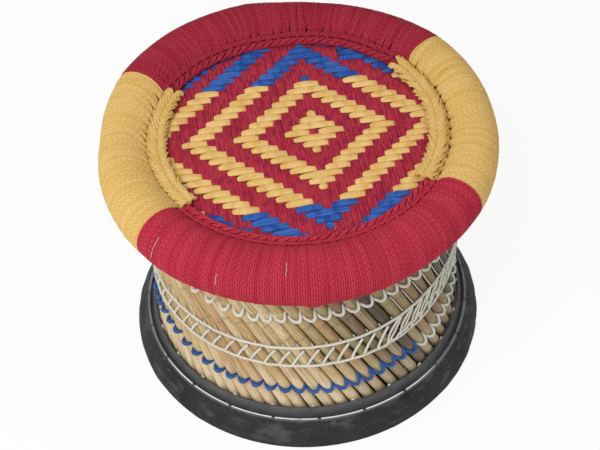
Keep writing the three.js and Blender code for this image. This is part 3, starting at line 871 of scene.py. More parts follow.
# Hoops of bamboo.
def make_inner_hoops(material):
    """Two flat hoops of split bamboo inside the inner reeds, as high as the solids that they stand for."""
    clearance, edge, thick = 0.2 * mm, 0.8 * mm, 3.6 * mm
    for name, node in (("lower_bamboo_hoop", "lower_inner_hoop"), ("upper_bamboo_hoop", "upper_inner_hoop")):
        low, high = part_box(node)
        bottom, top = low[2], high[2]
        outer_low, outer_high = (
            layer_radius(inner_waist, height) - reed_radius - clearance for height in (bottom, top)
        )
        outline = [
            (outer_low - edge, bottom), (outer_low, bottom + edge),
            (outer_high, top - edge), (outer_high - edge, top),
            (outer_high - thick + edge, top), (outer_high - thick, top - edge),
            (outer_low - thick, bottom + edge), (outer_low - thick + edge, bottom),
        ]
        dress(turned_ring(name, outline, 180), material, "bamboo", node)


def make_seat_hoop(material):
    outline = []
    for corner in range(10):
        angle = turn * corner / 10
        radius = seat_hoop_radius + seat_hoop_thickness * math.cos(angle)
        outline.append((radius, seat_hoop_height + seat_hoop_thickness * math.sin(angle)))
    dress(turned_ring("seat_hoop_cane", outline, 180), material, "bamboo", "seat_hoop")


# Binding cords. The square pitch is how far two reeds lie apart, square to them. The rungs are paired, and
# the legs show, between two azimuths in degrees.
hoop_cord_radius = 1.5 * mm
square_pitch = 13.2 * mm
pairs_left, pairs_right = -60, 50
legs_left, legs_right = -52, 60


def hoop_height(base, climb, spread, azimuth):
    """The waist cords lie level and climb towards the stool's right side."""
    return base + climb * bell(math.remainder(azimuth - hoop_climb_azimuth, turn), 0, spread)


def lower_hoop_at(azimuth):
    return hoop_height(110.5 * mm, 12 * mm, math.radians(24), azimuth)


def upper_hoop_at(azimuth):
    return hoop_height(140.5 * mm, 15 * mm, math.radians(42), azimuth)


def over_reeds(azimuth, height, thickness):
    """A point on a cord that is pulled tight over the outer reeds."""
    turned = azimuth - first_reed - layer_turn(outer_waist, -1, height)
    share = turned / reed_pitch - round(turned / reed_pitch)
    across = share * square_pitch
    reach = reed_radius + thickness
    lift = math.sqrt(max(reach**2 - across**2, 0))
    return polar(layer_radius(outer_waist, height) + lift, azimuth, height)


def waist_cord(height_at, draw):
    """A cord round the waist that wavers a little from reed to reed."""
    keys = []
    for step in range(reed_count * 2):
        azimuth = step * reed_pitch / 2
        height = height_at(azimuth) + draw.uniform(-0.45, 0.45) * mm
        radius = layer_radius(outer_waist, height) + reed_radius + hoop_cord_radius
        keys.append(polar(radius - draw.uniform(0, 0.5) * mm, azimuth, height))
    line = rounded(keys, 3, closed=True)
    return {"points": line, "thickness": hoop_cord_radius, "closed": True}


def waist_leg(reed, draw):
    """The cord that comes down between two reeds to the upper waist cord. On the right it shows from the
    top scallops down, and elsewhere only its foot does."""
    azimuth = first_reed + (reed + 0.45) * reed_pitch
    low = upper_hoop_at(azimuth) + 0.5 * mm
    if legs_left < degrees_round(azimuth) < legs_right:
        top = min(low + 40 * mm, top_scallop_height - scallop_drop * 0.3)
        reaches = ((0.0, 0.4), (0.12, -0.4), (0.5, -1.8), (1.0, -3.2))
        thickness = 0.62 * mm
    else:
        top = low + draw.uniform(3.5, 6.5) * mm
        reaches = ((0.0, 0.4), (0.5, 0.4), (1.0, 0.0))
        thickness = 0.6 * mm
    drop = top - low
    leg = [on_reeds(reed, 0.5, low + drop * share, reed_radius + reach * mm) for share, reach in reaches]
    return pointed(rounded(leg, 3), thickness)


def third_waist_cord():
    """A loose cord on the right that leaves the lower waist cord and runs on halfway to the upper one."""
    steps = 120
    line = []
    for step in range(steps + 1):
        azimuth = math.radians(-66 + 78 * step / steps)
        share = 0.5 * math.sin(math.pi / 2 * min(1.0, 2 * step / steps)) + 0.06 * math.sin(step * 0.9)
        low = lower_hoop_at(azimuth)
        height = low + (upper_hoop_at(azimuth) - low) * share
        line.append(polar(layer_radius(outer_waist, height) + reed_radius + 2.6 * mm, azimuth, height))
    return pointed(np.array(line), 1.15 * mm)


def ladder_rungs(draw):
    """Slanting rungs between the waist cords, single in front and in bowed pairs on the right."""
    strands = []
    for rung in range(reed_count):
        azimuth = first_reed + (rung + 0.1) * reed_pitch + draw.uniform(-0.06, 0.06) * reed_pitch
        paired = pairs_left < degrees_round(azimuth) < pairs_right
        lean = (1.12 if paired else 0.86) * reed_pitch
        low = lower_hoop_at(azimuth) + 0.4 * mm
        high = upper_hoop_at(azimuth + lean) - (0.8 if paired else 5.0) * mm
        for bow in (-1.0, 1.0) if paired else (0.0,):
            keys = []
            for share in (0.0, 0.15, 0.35, 0.55, 0.75, 0.9, 1.0):
                height = low + (high - low) * share
                bulge = math.sin(math.pi * share)
                place = azimuth + lean * (share**1.1 - 0.5) + reed_pitch * (0.22 * bow - 0.04) * bulge
                keys.append(polar(layer_radius(outer_waist, height) + reed_radius + 1.3 * mm, place, height))
            line = rounded(keys, 4)
            swell = np.minimum(1, 0.4 + 1.2 * np.sin(np.linspace(0.1, 0.97, len(line)) * math.pi))
            strands.append(pointed(line, (1.2 if paired else 1.4) * mm * swell))
    return strands


# A scallop over one reed: a share of the pitch, how far the cord has fallen as a share of the drop, how far
# it has sunk between the reeds in mm, and its thickness as a share.
scallop_keys = (
    (-0.5, 0.5, 3.8, 0.5), (-0.44, 0.62, 1.1, 0.9), (-0.3, 0.86, 0.1, 1.0), (-0.1, 1.0, 0.0, 1.05),
    (0.12, 0.95, 0.0, 1.05), (0.3, 0.68, 0.1, 1.0), (0.43, 0.3, 0.7, 0.95), (0.5, 0.08, 3.6, 0.55),
)


def scallop_points(reed, height, thickness, shape, flatness, draw):
    """One arc of cord over a reed, with its thickness. On the left the arcs lie flat and show only their
    middles. The shape says how far the row rises by azimuth."""
    azimuth = degrees_round(first_reed + reed * reed_pitch)
    top = height + np.interp(azimuth, *shape) * mm + draw.uniform(-0.7, 0.7) * mm
    flat = np.interp(azimuth, (-180, -150, -126, -106, -84, 120, 180), (1, 1, 0.9, 0.6, 0, 0, 1))
    hidden = np.interp(azimuth, (-180, -122, -106, -88, 160, 180), (1, 1, 0.35, 0, 0, 1))
    deep = 1 - flatness * float(flat)
    top -= (1 - deep) * scallop_drop
    drop = scallop_drop * draw.uniform(0.92, 1.1) * deep
    lean = draw.uniform(-0.03, 0.03)
    keys = []
    for share, fall, sunk, size in scallop_keys:
        level = top - (fall + (0.9 - fall) * hidden * flatness) * drop
        spread = first_reed + (reed + share + lean) * reed_pitch + layer_turn(outer_waist, -1, level)
        if abs(share) > 0.42:
            sunk += 3.6 * hidden
            size *= 1 - 0.45 * hidden
        elif abs(share) > 0.25:
            sunk += 1.6 * hidden
        else:
            size *= 1 + 0.3 * hidden
        x, y, z = over_reeds(spread, level, thickness * size)
        kept = 1 - sunk * mm / math.hypot(x, y)
        keys.append((x * kept, y * kept, z, thickness * size))
    return keys


def lay_scallops(name, node, reeds, height, material, slot, draw, thickness, shape, flatness):
    """A row of scallops over some reeds. A row over all of them is closed."""
    keys = []
    for reed in reeds:
        keys += scallop_points(reed, height, thickness, shape, flatness, draw)
    closed = len(reeds) == reed_count
    line = rounded(keys, 3, closed=closed)
    if closed:
        strand = {"points": line[:, :3], "thickness": line[:, 3], "closed": True}
    else:
        strand = pointed(line[:, :3], line[:, 3])
    dress(lay_strands(name, [strand], 8), material, slot, node)


def make_bindings(white, blue):
    draw = random.Random(21)
    lower = [waist_cord(lower_hoop_at, draw)]
    dress(lay_strands("lower_waist_cord", lower, 8), white, "white_cord", "lower_hoop_cord")
    upper = [waist_cord(upper_hoop_at, draw)]
    upper += [waist_leg(reed, draw) for reed in range(reed_count)]
    upper.append(third_waist_cord())
    dress(lay_strands("upper_waist_cord", upper, 8), white, "white_cord", "upper_hoop_cord")
    dress(lay_strands("ladder_cord", ladder_rungs(draw), 8), white, "white_cord", "ladder_lashing")

    top_shape = (
        (-180, -136, -126, -112, -100, -90, -76, -64, -48, -20, 60, 130, 180),
        (24, 24, 14, 0, -4, 0, 1, 4, 7, 7, 0, 6, 24),
    )
    low_shape = (
        (-180, -167, -157, -147, -138, -122, -112, -90, -76, -62, -50, -44, -18, 60, 180),
        (6, 13, 13, 5, 2, 1, -2, -4, 0, 5, -6, 2, 10, 4, 6),
    )
    sway = first_reed + layer_turn(outer_waist, -1, low_scallop_height - scallop_drop)
    first = round((blue_start - sway) / reed_pitch)
    last = round((blue_end - sway) / reed_pitch)
    lay_scallops(
        "top_scallops", "top_scallop_cord", range(reed_count), top_scallop_height,
        white, "white_cord", draw, thickness=1.7 * mm, shape=top_shape, flatness=0.35,
    )
    lay_scallops(
        "blue_scallops", "blue_scallop_cord", range(first, last + 1), low_scallop_height,
        blue, "blue_cord", draw, thickness=1.95 * mm, shape=low_shape, flatness=1.0,
    )
    lay_scallops(
        "white_scallops", "white_scallop_cord", range(last + 1, first + reed_count), low_scallop_height,
        white, "white_cord", draw, thickness=1.6 * mm, shape=low_shape, flatness=0.0,
    )


# Rim.
yarn_radius = 1.25 * mm
yarn_step = 2.4 * mm / (roll_centre + roll_radius)
braid_line = 156 * mm
chain_radius = 149.9 * mm
chain_height = 286.9 * mm
swell_side = math.radians(45)


def section_point(angle, radius, azimuth):
    """A point of the roll's round section, by its angle and its distance from the roll's middle."""
    return polar(roll_centre + radius * math.cos(angle), azimuth, roll_height + radius * math.sin(angle))


def roll_swell(azimuth, angle):
    """How far the roll stands out of round at an azimuth, most of it on its outer side. It dips at one seam
    in front and sags on the left of it."""
    around = degrees_round(azimuth)
    swells = (
        (-180, -165, -145, -120, -60, -28, -12, 6, 22, 40, 60, 80, 93, 104, 130, 152, 163, 174, 180),
        (-3.4, -0.5, 2, 0, 0, -0.4, -2.2, -2.3, 0.2, 2.2, 0.4, -0.8, 0.6, 4.6, 6.3, 5.2, 1.6, -2.6, -3.4),
    )
    swell = float(np.interp(around, *swells)) * mm
    dip = 2.2 * mm * bell(around, -88, 2.6) * max(0.0, math.cos(angle + math.radians(35)))
    sag = float(np.interp(around, (-155, -140, -128, -80, -66, -52), (0, 1.6, 3.9, 4.4, 2.4, 0))) * mm
    sag *= max(0.0, math.cos(angle + math.radians(48))) ** 1.5
    return swell * (0.5 + 0.5 * math.cos(angle - swell_side)) + sag + dip


def back_pull(azimuth):
    """How far the edge is drawn in over the back of the seat."""
    marks = (34, 44, 52, 60, 68, 80, 98, 112, 125, 150)
    pulls = (0, 4.0, 5.4, 4.8, 3.8, 5.0, 7.0, 4.6, 2.4, 0)
    return float(np.interp(degrees_round(azimuth), marks, pulls)) * mm


def wind_yarn(
    name, node, start, end, material, slot, seed, loose, hole_gap, gather, sweep, inward, fibres=()
):
    """Yarn wound round the roll between two azimuths. Towards the braid the turns gather in pulled stitches
    over the last degrees of a turn, sweep is how far they lean along the rim on the way there, and inward
    is how far they stand out towards the braid."""
    draw = random.Random(seed)
    span = (end - start) % turn
    turns = round(span / yarn_step)
    holes = round(span / (hole_gap / braid_line))
    hole_step = span / holes
    steps_per_turn = 22
    first_angle = math.radians(-112)
    stitch_angle, furrow_angle = 172, 168
    edge_share = 0.12
    bunching = 0.6 if slot == "yellow_yarn" else 0.4
    waves = [(draw.uniform(0, turn), draw.randint(60, 140), draw.uniform(0.3, 1.0)) for _ in range(5)]
    nudges = [draw.uniform(-0.25, 0.25) for _ in range(holes + 2)]
    points, tones, widths, hands = [], [], [], []
    hand = 1.0
    for step in range(turns * steps_per_turn + 1):
        share = step / steps_per_turn
        if step % steps_per_turn == 0:
            tone = draw.random()
            inset = draw.uniform(-0.16, 0.08) * mm
            hand = -hand if draw.random() < 0.85 else hand
        angle = first_angle + turn * (share % 1.0)
        degrees = math.degrees(angle)
        azimuth = start + span * (share / turns)
        near = bell(degrees, stitch_angle, gather if degrees < stitch_angle else 40)
        close = bell(degrees, furrow_angle, 12)
        number = math.floor((azimuth - start) / hole_step)
        hole = start + (number + 0.5 + nudges[number]) * hole_step
        pulled = 1 - min(1.0, abs(azimuth - hole) / (0.5 * hole_step))
        inner = max(0.0, math.sin((degrees - 60) / 120 * math.pi)) if 60 < degrees < 180 else 0.0
        drift = sum(size * math.sin(begin + count * azimuth + 2.2 * angle) for begin, count, size in waves)
        edges = min(1.0, (azimuth - start) / edge_share, (start + span - azimuth) / edge_share)
        place = azimuth + (hole - azimuth) * bunching * near
        place += 0.3 * drift * loose * yarn_step * inner
        place += sweep * edges * share_between(degrees, 60, 165) ** 3
        radius = roll_radius - yarn_radius + inset + roll_swell(azimuth, angle)
        radius += (inward + back_pull(azimuth)) * near * (0.8 + 0.2 * pulled)
        radius -= 0.7 * mm * close * (1 - pulled)
        radius -= 0.9 * mm * max(0.0, math.sin(angle)) ** 6
        points.append(section_point(angle, radius, place))
        tones.append(tone)
        hands.append(hand)
        widths.append(yarn_radius * (1.03 + 0.03 * math.sin(share * 2.3 + tone * 5)))
    strand = pointed(np.array(points), np.array(widths), np.array(tones))
    strand["hand"] = np.array(hands)
    strands = [strand] + [loose_fibre(first, last, draw) for first, last in fibres]
    under = lay_strands(name, [wrap_underlay(start, end)], 20)
    piece = joined(name, [lay_strands(name, strands), under])
    dress(piece, material, slot, node)


def loose_fibre(first, last, draw):
    """A pale fibre that lies on the roll between two places, each an azimuth and a section angle."""
    steps = 12
    line = []
    for step in range(steps + 1):
        around, angle = (math.radians(a + (b - a) * step / steps) for a, b in zip(first, last))
        reach = roll_radius + 0.5 * mm + roll_swell(around, angle)
        line.append(section_point(angle, reach, around + draw.uniform(-0.0025, 0.0025)))
    return pointed(np.array(line), 0.34 * mm, 2.0)


def wrap_underlay(start, end):
    """The tight winding under the one that shows, as one thick core that swells with the roll; its tone of -1
    paints it dark as shade.
    """
    span = (end - start) % turn
    margin = 0.004
    marks = np.linspace(start + margin, start + span - margin, int(span / 0.03))
    swells = [roll_swell(azimuth, swell_side) / 2 for azimuth in marks]
    points = []
    for azimuth, swell in zip(marks, swells):
        radius = roll_centre + 0.4 * mm + swell * math.cos(swell_side)
        points.append(polar(radius, azimuth, roll_height + swell * math.sin(swell_side)))
    return pointed(np.array(points), roll_radius - 3.0 * mm + np.array(swells), -1.0)


# A stitch over the chain: a radius and a height in mm, and how far it slants in radians.
stitch_keys = (
    (161.5, 290.5, -0.012), (159.4, 292.4, -0.006), (156.6, 292.0, 0.0), (154.4, 289.6, 0.004),
    (153.4, 286.2, 0.006),
)


def make_chain(name, node, start, end, material, seed):
    """The red edge: a rope of three strands on a hidden bed, a pair of yarns along its outer side and the
    stitches over it."""
    draw = random.Random(seed)
    span = (end - start) % turn
    length = span * red_braid_radius
    lay = 29 * mm
    rope_wide, rope_high = 3.3 * mm, 2.9 * mm
    stitch_gap = 11 * mm
    steps = int(length / (lay / 12))
    shares = [step / steps for step in range(steps + 1)]
    marks = [start + span * share for share in shares]
    strands = []
    for ply in range(3):
        for fine in (-1, 0, 1):
            tone = draw.uniform(0.2, 1.0)
            line = []
            for share, azimuth in zip(shares, marks):
                angle = length * share / lay * turn + turn * ply / 3 + fine * 0.44
                wave = 0.3 * mm * math.sin(azimuth * 23 + ply)
                radius = chain_radius + rope_wide * math.cos(angle) + wave - back_pull(azimuth)
                line.append(polar(radius, azimuth, chain_height + rope_high * math.sin(angle)))
            strands.append(pointed(np.array(line), 1.3 * mm, tone))
    for radius, height, pull, thickness in ((153.6, 286.0, 1.0, 3.0), (158.6, 286.6, 0.7, 3.4)):
        line = [polar(radius * mm - pull * back_pull(azimuth), azimuth, height * mm) for azimuth in marks]
        strands.append(pointed(np.array(line), thickness * mm, 0.2))
    for radius, height in ((156.4, 289.9), (158.2, 291.2)):
        line = []
        for azimuth in marks:
            wave = 0.35 * mm * math.sin(azimuth * red_braid_radius / stitch_gap * turn)
            line.append(polar(radius * mm + wave - back_pull(azimuth), azimuth, height * mm + wave))
        strands.append(pointed(np.array(line), 1.2 * mm, draw.uniform(0.7, 1.0)))
    stitches = round(length / stitch_gap)
    for stitch in range(stitches):
        azimuth = start + span * (stitch + 0.5 + draw.uniform(-0.12, 0.12)) / stitches
        for turned in (-0.006, 0.008):
            keys = []
            for reach, height, shift in stitch_keys:
                keys.append(polar(reach * mm - back_pull(azimuth), azimuth + turned + shift, height * mm))
            strands.append(pointed(rounded(keys, 3), 1.05 * mm, draw.uniform(0.4, 1.0)))
    dress(lay_strands(name, strands), material, "red_yarn", node)


# A yarn of the plait: a share of its reach, how far it lies from the middle in mm, and its height in mm.
plait_keys = (
    (0.0, -1.6, 285.4), (0.2, 0.0, 289.4), (0.45, 2.6, 291.4), (0.7, 5.0, 290.8),
    (0.9, 7.2, 288.6), (1.0, 8.2, 286.4),
)


def make_plait(name, node, start, end, material, seed, ahead):
    """The yellow edge, laid like an ear of corn: bundles of yarn fan out from the middle to both sides, each
    over the one before. They run towards the back, which is a rising azimuth (1) or a falling one (-1)."""
    draw = random.Random(seed)
    span = (end - start) % turn
    spacing = 7.4 * mm / yellow_braid_radius
    count = int(span / spacing)
    hole = (13 if ahead > 0 else 9) * mm / braid_line
    tip_looseness = 1.0 if ahead > 0 else 0.35
    bed = [start + span * step / 400 for step in range(401)]
    widths = np.array([3.1 + 0.6 * math.cos(turn * azimuth / hole) for azimuth in bed]) * mm
    line = [polar(yellow_braid_radius + 9.8 * mm, azimuth, 285.6 * mm) for azimuth in bed]
    strands = [pointed(np.array(line), widths, 0.4)]
    for number in range(-4, count):
        for side in (-1, 1):
            base = (number + (0.5 if side > 0 else 0.0)) * spacing
            reach = draw.uniform(27, 32) * mm / yellow_braid_radius
            tone = draw.random()
            loose = draw.uniform(6, 13) * mm * tip_looseness if number > count - 4 else 0.0
            rise = 1.2 * mm if side > 0 else 0.0
            spread = 1.15 if side > 0 else 0.9
            for fine in range(3):
                out = draw.uniform(0.85, 1.1)
                keys = []
                for along, across, up in plait_keys:
                    travel = base + reach * along - fine * 1.5 * mm / yellow_braid_radius
                    travel = min(max(travel, 0.0), span + loose / yellow_braid_radius)
                    azimuth = start + travel if ahead > 0 else end - travel
                    radius = yellow_braid_radius + side * (across * out * spread + fine) * mm
                    keys.append(polar(radius, azimuth, up * mm + (rise + loose * 0.25) * along))
                own_tone = share_between(tone + draw.uniform(-0.25, 0.25), 0.0, 1.0)
                strands.append(pointed(rounded(keys, 3), 1.3 * mm, own_tone))
    dress(lay_strands(name, strands), material, "yellow_yarn", node)


def make_grass_core(material):
    """Bundles of grass inside the roll, twelve round another six."""
    draw = random.Random(3)
    outer, inner = 12, 6
    steps = 96
    strands = []
    for number in range(outer + inner):
        if number < outer:
            angle, reach = turn * number / outer, 17.5 * mm
        else:
            angle, reach = turn * number / inner, 8 * mm
        start = draw.uniform(0, turn)
        line = []
        for step in range(steps):
            azimuth = turn * step / steps
            wobble = 0.8 * mm * math.sin(5 * azimuth + start)
            line.append(section_point(angle + 0.1 * math.sin(3 * azimuth + start), reach + wobble, azimuth))
        strands.append({"points": line, "thickness": 4.6 * mm, "closed": True, "tone": draw.random()})
    dress(lay_strands("rim_grass_core", strands), material, "dry_grass", "rim_core")


def make_rim(red, back_red_shaded, yellow):
    front_fibres = (
        ((-133.2, 55), (-134.1, -1)),
        ((-113.8, 33), (-113.9, 6)),
        ((-95.1, 74), (-95.3, 44)),
    )
    wind_yarn(
        "front_red_yarn", "front_red_wrap", front_left, front_right, red, "red_yarn", seed=31,
        loose=0.3, hole_gap=11 * mm, gather=16, sweep=0.0, inward=1.5 * mm, fibres=front_fibres,
    )
    wind_yarn(
        "right_yellow_yarn", "right_yellow_wrap", front_right, back_right, yellow, "yellow_yarn", seed=32,
        loose=1.0, hole_gap=13 * mm, gather=17, sweep=0.012, inward=2.0 * mm,
    )
    # The back red yarn and chain take the darker copy of the red, as painted shade.
    wind_yarn(
        "shaded_back_red_yarn", "back_red_wrap", back_right, back_left, back_red_shaded, "red_yarn", seed=33,
        loose=0.6, hole_gap=9 * mm, gather=24, sweep=0.0, inward=1.5 * mm,
    )
    wind_yarn(
        "left_yellow_yarn", "left_yellow_wrap", back_left, front_left, yellow, "yellow_yarn", seed=34,
        loose=1.2, hole_gap=9 * mm, gather=26, sweep=0.09, inward=5.5 * mm,
    )
    make_chain("front_red_chain", "front_red_braid", front_left, front_right, red, seed=41)
    make_plait("right_yellow_plait", "right_yellow_braid", front_right, back_right, yellow, seed=42, ahead=1)
    make_chain("back_red_chain", "back_red_braid", back_right, back_left, back_red_shaded, seed=43)
    make_plait("left_yellow_plait", "left_yellow_braid", back_left, front_left, yellow, seed=44, ahead=-1)


# Seat.
def weft_shows(column, row):
    """The diamond twill: floats over three, laid in diamonds round one crossing. Near the edge of the seat
    some bands lie a crossing or two nearer."""
    steps = abs(column) + abs(row)
    if column < -8 and row > 11 and steps > 22:
        steps += 2 if row > 13 else 1
    if column < -10 and row < -8 and steps > 22:
        steps += 1
    if column > 4 and row < -11 and 16 < steps < 20:
        steps += 2
    return steps % 6 in (1, 2, 3)


def share_between(value, low, high):
    return min(max((value - low) / (high - low), 0.0), 1.0)


def fanned(across, along):
    """Where a place of the even weave really lies: the front rows fan out and rise towards the right, and
    they crowd together in the left front corner."""
    rows = max(pattern_along - along, 0.0) / (106 * mm)
    crowd = share_between(-across, 60 * mm, 100 * mm) * share_between(-along, 70 * mm, 105 * mm)
    return along + 0.059 * (across + 70 * mm) * rows + 7 * mm * crowd


def unfanned(across, real):
    along = real
    for _ in range(12):
        along += real - fanned(across, along)
    return along


def rope_ends(place, turned):
    """Where a rope meets the hoop, in places of the even weave."""
    if not turned:
        reach = math.sqrt(seat_hoop_radius**2 - place**2)
        return unfanned(place, -reach), reach
    ends = []
    for side in (-1, 1):
        across = 0.0
        for _ in range(8):
            across = side * math.sqrt(max(seat_hoop_radius**2 - fanned(across, place) ** 2, 0.0))
        ends.append(across)
    return ends


rope_swing = 1.55 * mm


def float_spans(first, last, origin, step, shows):
    """The stretches over which a rope stays on one side: both ends, and 1 for over or -1 for under."""
    numbers = range(first, last + 1)
    marks = sorted((origin + number * step, 1.0 if shows(number) else -1.0) for number in numbers)
    half = abs(step) / 2
    spans = []
    for centre, side in marks:
        if spans and spans[-1][2] == side:
            spans[-1][1] = centre + half
        else:
            spans.append([centre - half, centre + half, side])
    return spans


def hoop_turn(place, end, side, reach):
    """How a rope turns round the seat hoop, from its upper side outwards and back below. A point holds
    across, along, up and a share of the thickness."""
    keys = ((-1.6, 1.25), (0, 1), (0.8, 0.6), (1, -0.2), (0.5, -0.9), (-0.5, -0.9), (-1.1, -0.1))
    return [(place, end + side * along * reach, seat_hoop_height + up * reach, 1.0) for along, up in keys]


def seat_rope(place, first, last, origin, step, shows, draw, turned, thickness, slant, taper):
    """One rope from hoop to hoop. It lies at a place across and goes over and under what it crosses. Over a
    float it swells and leans a little to one side, and at the float's ends it narrows and dives."""
    low_end, high_end = rope_ends(place, turned)
    clear = 8 * mm
    line = []
    for low, high, side in float_spans(first, last, origin, step, shows):
        length = high - low
        for share in (0.0, 0.09, 0.24, 0.5, 0.76, 0.91):
            bulge = math.sin(math.pi * share)
            level = seat_level + rope_swing * side * (0.1 + 0.9 * bulge**0.5 if share else 0.0)
            width = 1.07 - taper * (1 - bulge) if side > 0 else 0.97
            if side > 0 and length < abs(step) * 1.5:
                width *= 0.88
            along = low + share * length
            if low_end + clear < along < high_end - clear:
                line.append((place + slant * (share - 0.5) * length * side, along, level, width))
    reach = seat_hoop_thickness + thickness
    start = hoop_turn(place, low_end, -1, reach)
    line = np.array(start[::-1] + line + hoop_turn(place, high_end, 1, reach))
    points, widths = line[:, :3], line[:, 3]
    if turned:
        points = points[:, [1, 0, 2]]
        half_row = weft_pitch / 2
        widths = widths * [
            min(1.0, (fanned(across, along + half_row) - fanned(across, along - half_row)) / weft_pitch)
            for across, along in points[:, :2]
        ]
    points[:, 1] = [fanned(across, along) for across, along in points[:, :2]]
    x, y, z = points.T
    c, s = math.cos(seat_turn), math.sin(seat_turn)
    points = np.column_stack([c * x - s * y, s * x + c * y, z])
    strand = pointed(points, widths * draw.uniform(0.96, 1.04), draw.random())
    strand["hand"] = draw.choice((-1.0, 1.0))
    return strand


def make_seat(red, yellow, blue):
    """Three warp ropes to a column of the weave and one weft rope to a row. The last column and the last row
    lie beyond the hoop and only end the floats."""
    draw = random.Random(77)
    first_column, last_column = -20, 18
    first_row, last_row = -18, 18
    warp_section = oval_section("warp_section", 3.8 * mm, 2.5 * mm)
    weft_section = oval_section("weft_section", 9.7 * mm, 3.0 * mm, 12)
    limit = seat_hoop_radius - 5 * mm
    ropes = []
    for column in range(first_column, last_column):
        for offset in (-2.85 * mm, 0, 2.85 * mm):
            place = pattern_across + column * warp_pitch + offset + draw.uniform(-0.12, 0.12) * mm
            if abs(place) > limit:
                continue
            ropes.append(
                seat_rope(
                    place, first_row, last_row, pattern_along, -weft_pitch,
                    lambda row, column=column: not weft_shows(column, row), draw,
                    turned=False, thickness=1.4 * mm, slant=-0.05, taper=0.14,
                )
            )
    dress(lay_strands("warp_ropes", ropes, section=warp_section), red, "red_yarn", "seat_warp")
    for name, node, start, end, material, slot in (
        ("back_blue_ropes", "back_blue_weft", first_row, last_back_blue_row + 1, blue, "blue_yarn"),
        ("yellow_ropes", "yellow_weft", last_back_blue_row + 1, first_front_blue_row, yellow, "yellow_yarn"),
        ("front_blue_ropes", "front_blue_weft", first_front_blue_row, last_row, blue, "blue_yarn"),
    ):
        ropes = []
        for row in range(start, end):
            place = pattern_along - row * weft_pitch
            if abs(fanned(0.0, place)) > limit:
                continue
            ropes.append(
                seat_rope(
                    place, first_column, last_column, pattern_across, warp_pitch,
                    lambda column, row=row: weft_shows(column, row), draw,
                    turned=True, thickness=1.7 * mm, slant=0.03, taper=0.36,
                )
            )
        dress(lay_strands(name, ropes, section=weft_section), material, slot, node)
    for section in (warp_section, weft_section):
        bpy.data.objects.remove(section)


# Floor, lamps and backdrop.
floor_glow = 0.88
dome_light = 0.55


def camera_share(nodes):
    """1 for what the camera sees, mirrored in things or through them too, and 0 for what lights them."""
    seen = nodes.node("ShaderNodeLightPath", out="Is Camera Ray")
    for other in ("Is Glossy Ray", "Is Transmission Ray"):
        seen = seen.most(nodes.node("ShaderNodeLightPath", out=other))
    return seen


def make_floor():
    bpy.ops.object.select_all(action="DESELECT")
    bpy.ops.mesh.primitive_plane_add(size=12, location=(0, 0, 0))
    floor = bpy.context.object
    floor.name = "floor"
    finish = Finish("pale_floor", roughness=0.95, specular=0.1)
    finish.paint(finish.mix(finish.noise(9, 2), srgb(252, 252, 252), srgb(250, 250, 250)))
    lit = Value(finish, finish.shader.outputs[0])
    glow = finish.node("ShaderNodeEmission")
    blend = finish.node("ShaderNodeMixShader", None, {0: camera_share(finish) * floor_glow, 1: lit, 2: glow})
    output = next(n for n in finish.tree.nodes if n.type == "OUTPUT_MATERIAL")
    finish.feed(output.inputs[0], blend)
    floor.data.materials.append(finish.material)


def make_backdrop():
    world = bpy.data.worlds.new("studio")
    bpy.context.scene.world = world
    world.use_nodes = True
    world.node_tree.nodes.clear()
    nodes = Nodes(world.node_tree)
    white = (1, 1, 1, 1)
    dome = nodes.node("ShaderNodeBackground", None, {"Color": white, "Strength": dome_light})
    backdrop = nodes.node("ShaderNodeBackground", None, {"Color": white, "Strength": 1.0})
    choice = nodes.node("ShaderNodeMixShader", None, {0: camera_share(nodes), 1: dome, 2: backdrop})
    nodes.node("ShaderNodeOutputWorld", None, {0: choice})


def hang_lamps():
    aimed_at = Vector((0, 0, 0.15))
    for name, place, size, power in (
        ("main_lamp", (-0.7, -1.25, 1.65), 1.3, 24.5),
        ("side_lamp", (1.5, -0.5, 1.2), 1.2, 0.6),
        ("back_lamp", (0.2, 1.5, 1.6), 1.4, 2),
    ):
        bpy.ops.object.light_add(type="AREA", location=place)
        lamp = bpy.context.object
        lamp.name = name
        lamp.data.shape = "DISK"
        lamp.data.size = size
        lamp.data.energy = power
        lamp.rotation_euler = (aimed_at - Vector(place)).to_track_quat("-Z", "Y").to_euler()


place_camera()

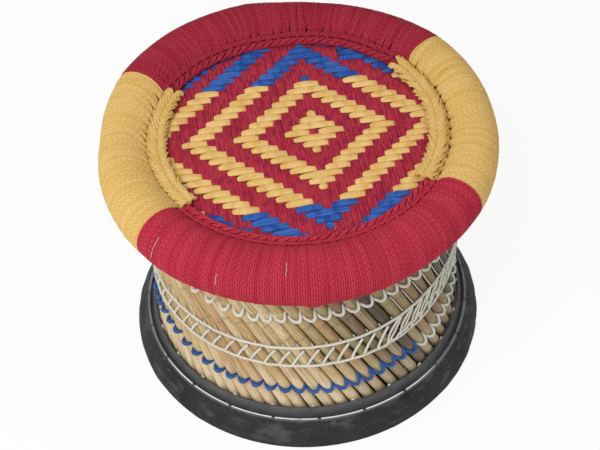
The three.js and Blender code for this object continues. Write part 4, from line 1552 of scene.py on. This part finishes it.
red_yarn = yarn_finish("red_yarn", srgb(182, 44, 64), srgb(116, 18, 38), srgb(206, 66, 84))
# The back red is the front's yarn painted darker, as painted shade.
shaded_back_red_yarn = yarn_finish("shaded_back_red_yarn", srgb(163, 38, 56), srgb(98, 12, 32), srgb(186, 58, 76))
yellow_yarn = yarn_finish(
    "yellow_yarn", srgb(222, 182, 102), srgb(168, 124, 58), srgb(236, 202, 130), furrows=0.35
)
seat_red = rope_finish(
    "seat_red", srgb(168, 40, 60), srgb(96, 14, 44), srgb(192, 60, 72), srgb(138, 26, 64),
    lanes=3, furrows=0.4, side_shade_share=0.55,
)
seat_yellow = rope_finish(
    "seat_yellow", srgb(224, 182, 106), srgb(170, 122, 62), srgb(238, 202, 134), srgb(214, 168, 92),
    lanes=4, furrows=0.12, side_shade_share=0.25,
)
seat_blue = rope_finish(
    "seat_blue", srgb(36, 82, 160), srgb(20, 40, 100), srgb(66, 112, 188), srgb(28, 62, 140),
    lanes=4, furrows=0.3, side_shade_share=0.5,
)
white_cord = cord_finish("white_cord", srgb(222, 221, 210), srgb(140, 136, 120), srgb(196, 193, 176))
blue_cord = cord_finish("blue_cord", srgb(38, 86, 156), srgb(18, 38, 92), srgb(32, 70, 136))
reed_straw = reed_finish(
    "reed_straw", srgb(216, 192, 142), srgb(206, 172, 118), srgb(150, 114, 76), srgb(208, 170, 132)
)
dry_grass = grass_finish("dry_grass", srgb(176, 150, 92), srgb(98, 78, 42), srgb(206, 182, 122))
bamboo = bamboo_finish("bamboo")
tyre_rubber = rubber_finish("tyre_rubber")

make_tyre(tyre_rubber)
make_foot_roll(dry_grass)
make_lacing(white_cord)
make_reeds(reed_straw)
make_inner_hoops(bamboo)
make_bindings(white_cord, blue_cord)
make_grass_core(dry_grass)
make_rim(red_yarn, shaded_back_red_yarn, yellow_yarn)
make_seat_hoop(bamboo)
make_seat(seat_red, seat_yellow, seat_blue)
make_floor()
make_backdrop()
hang_lamps()
bpy.context.scene.view_settings.view_transform = "Standard"
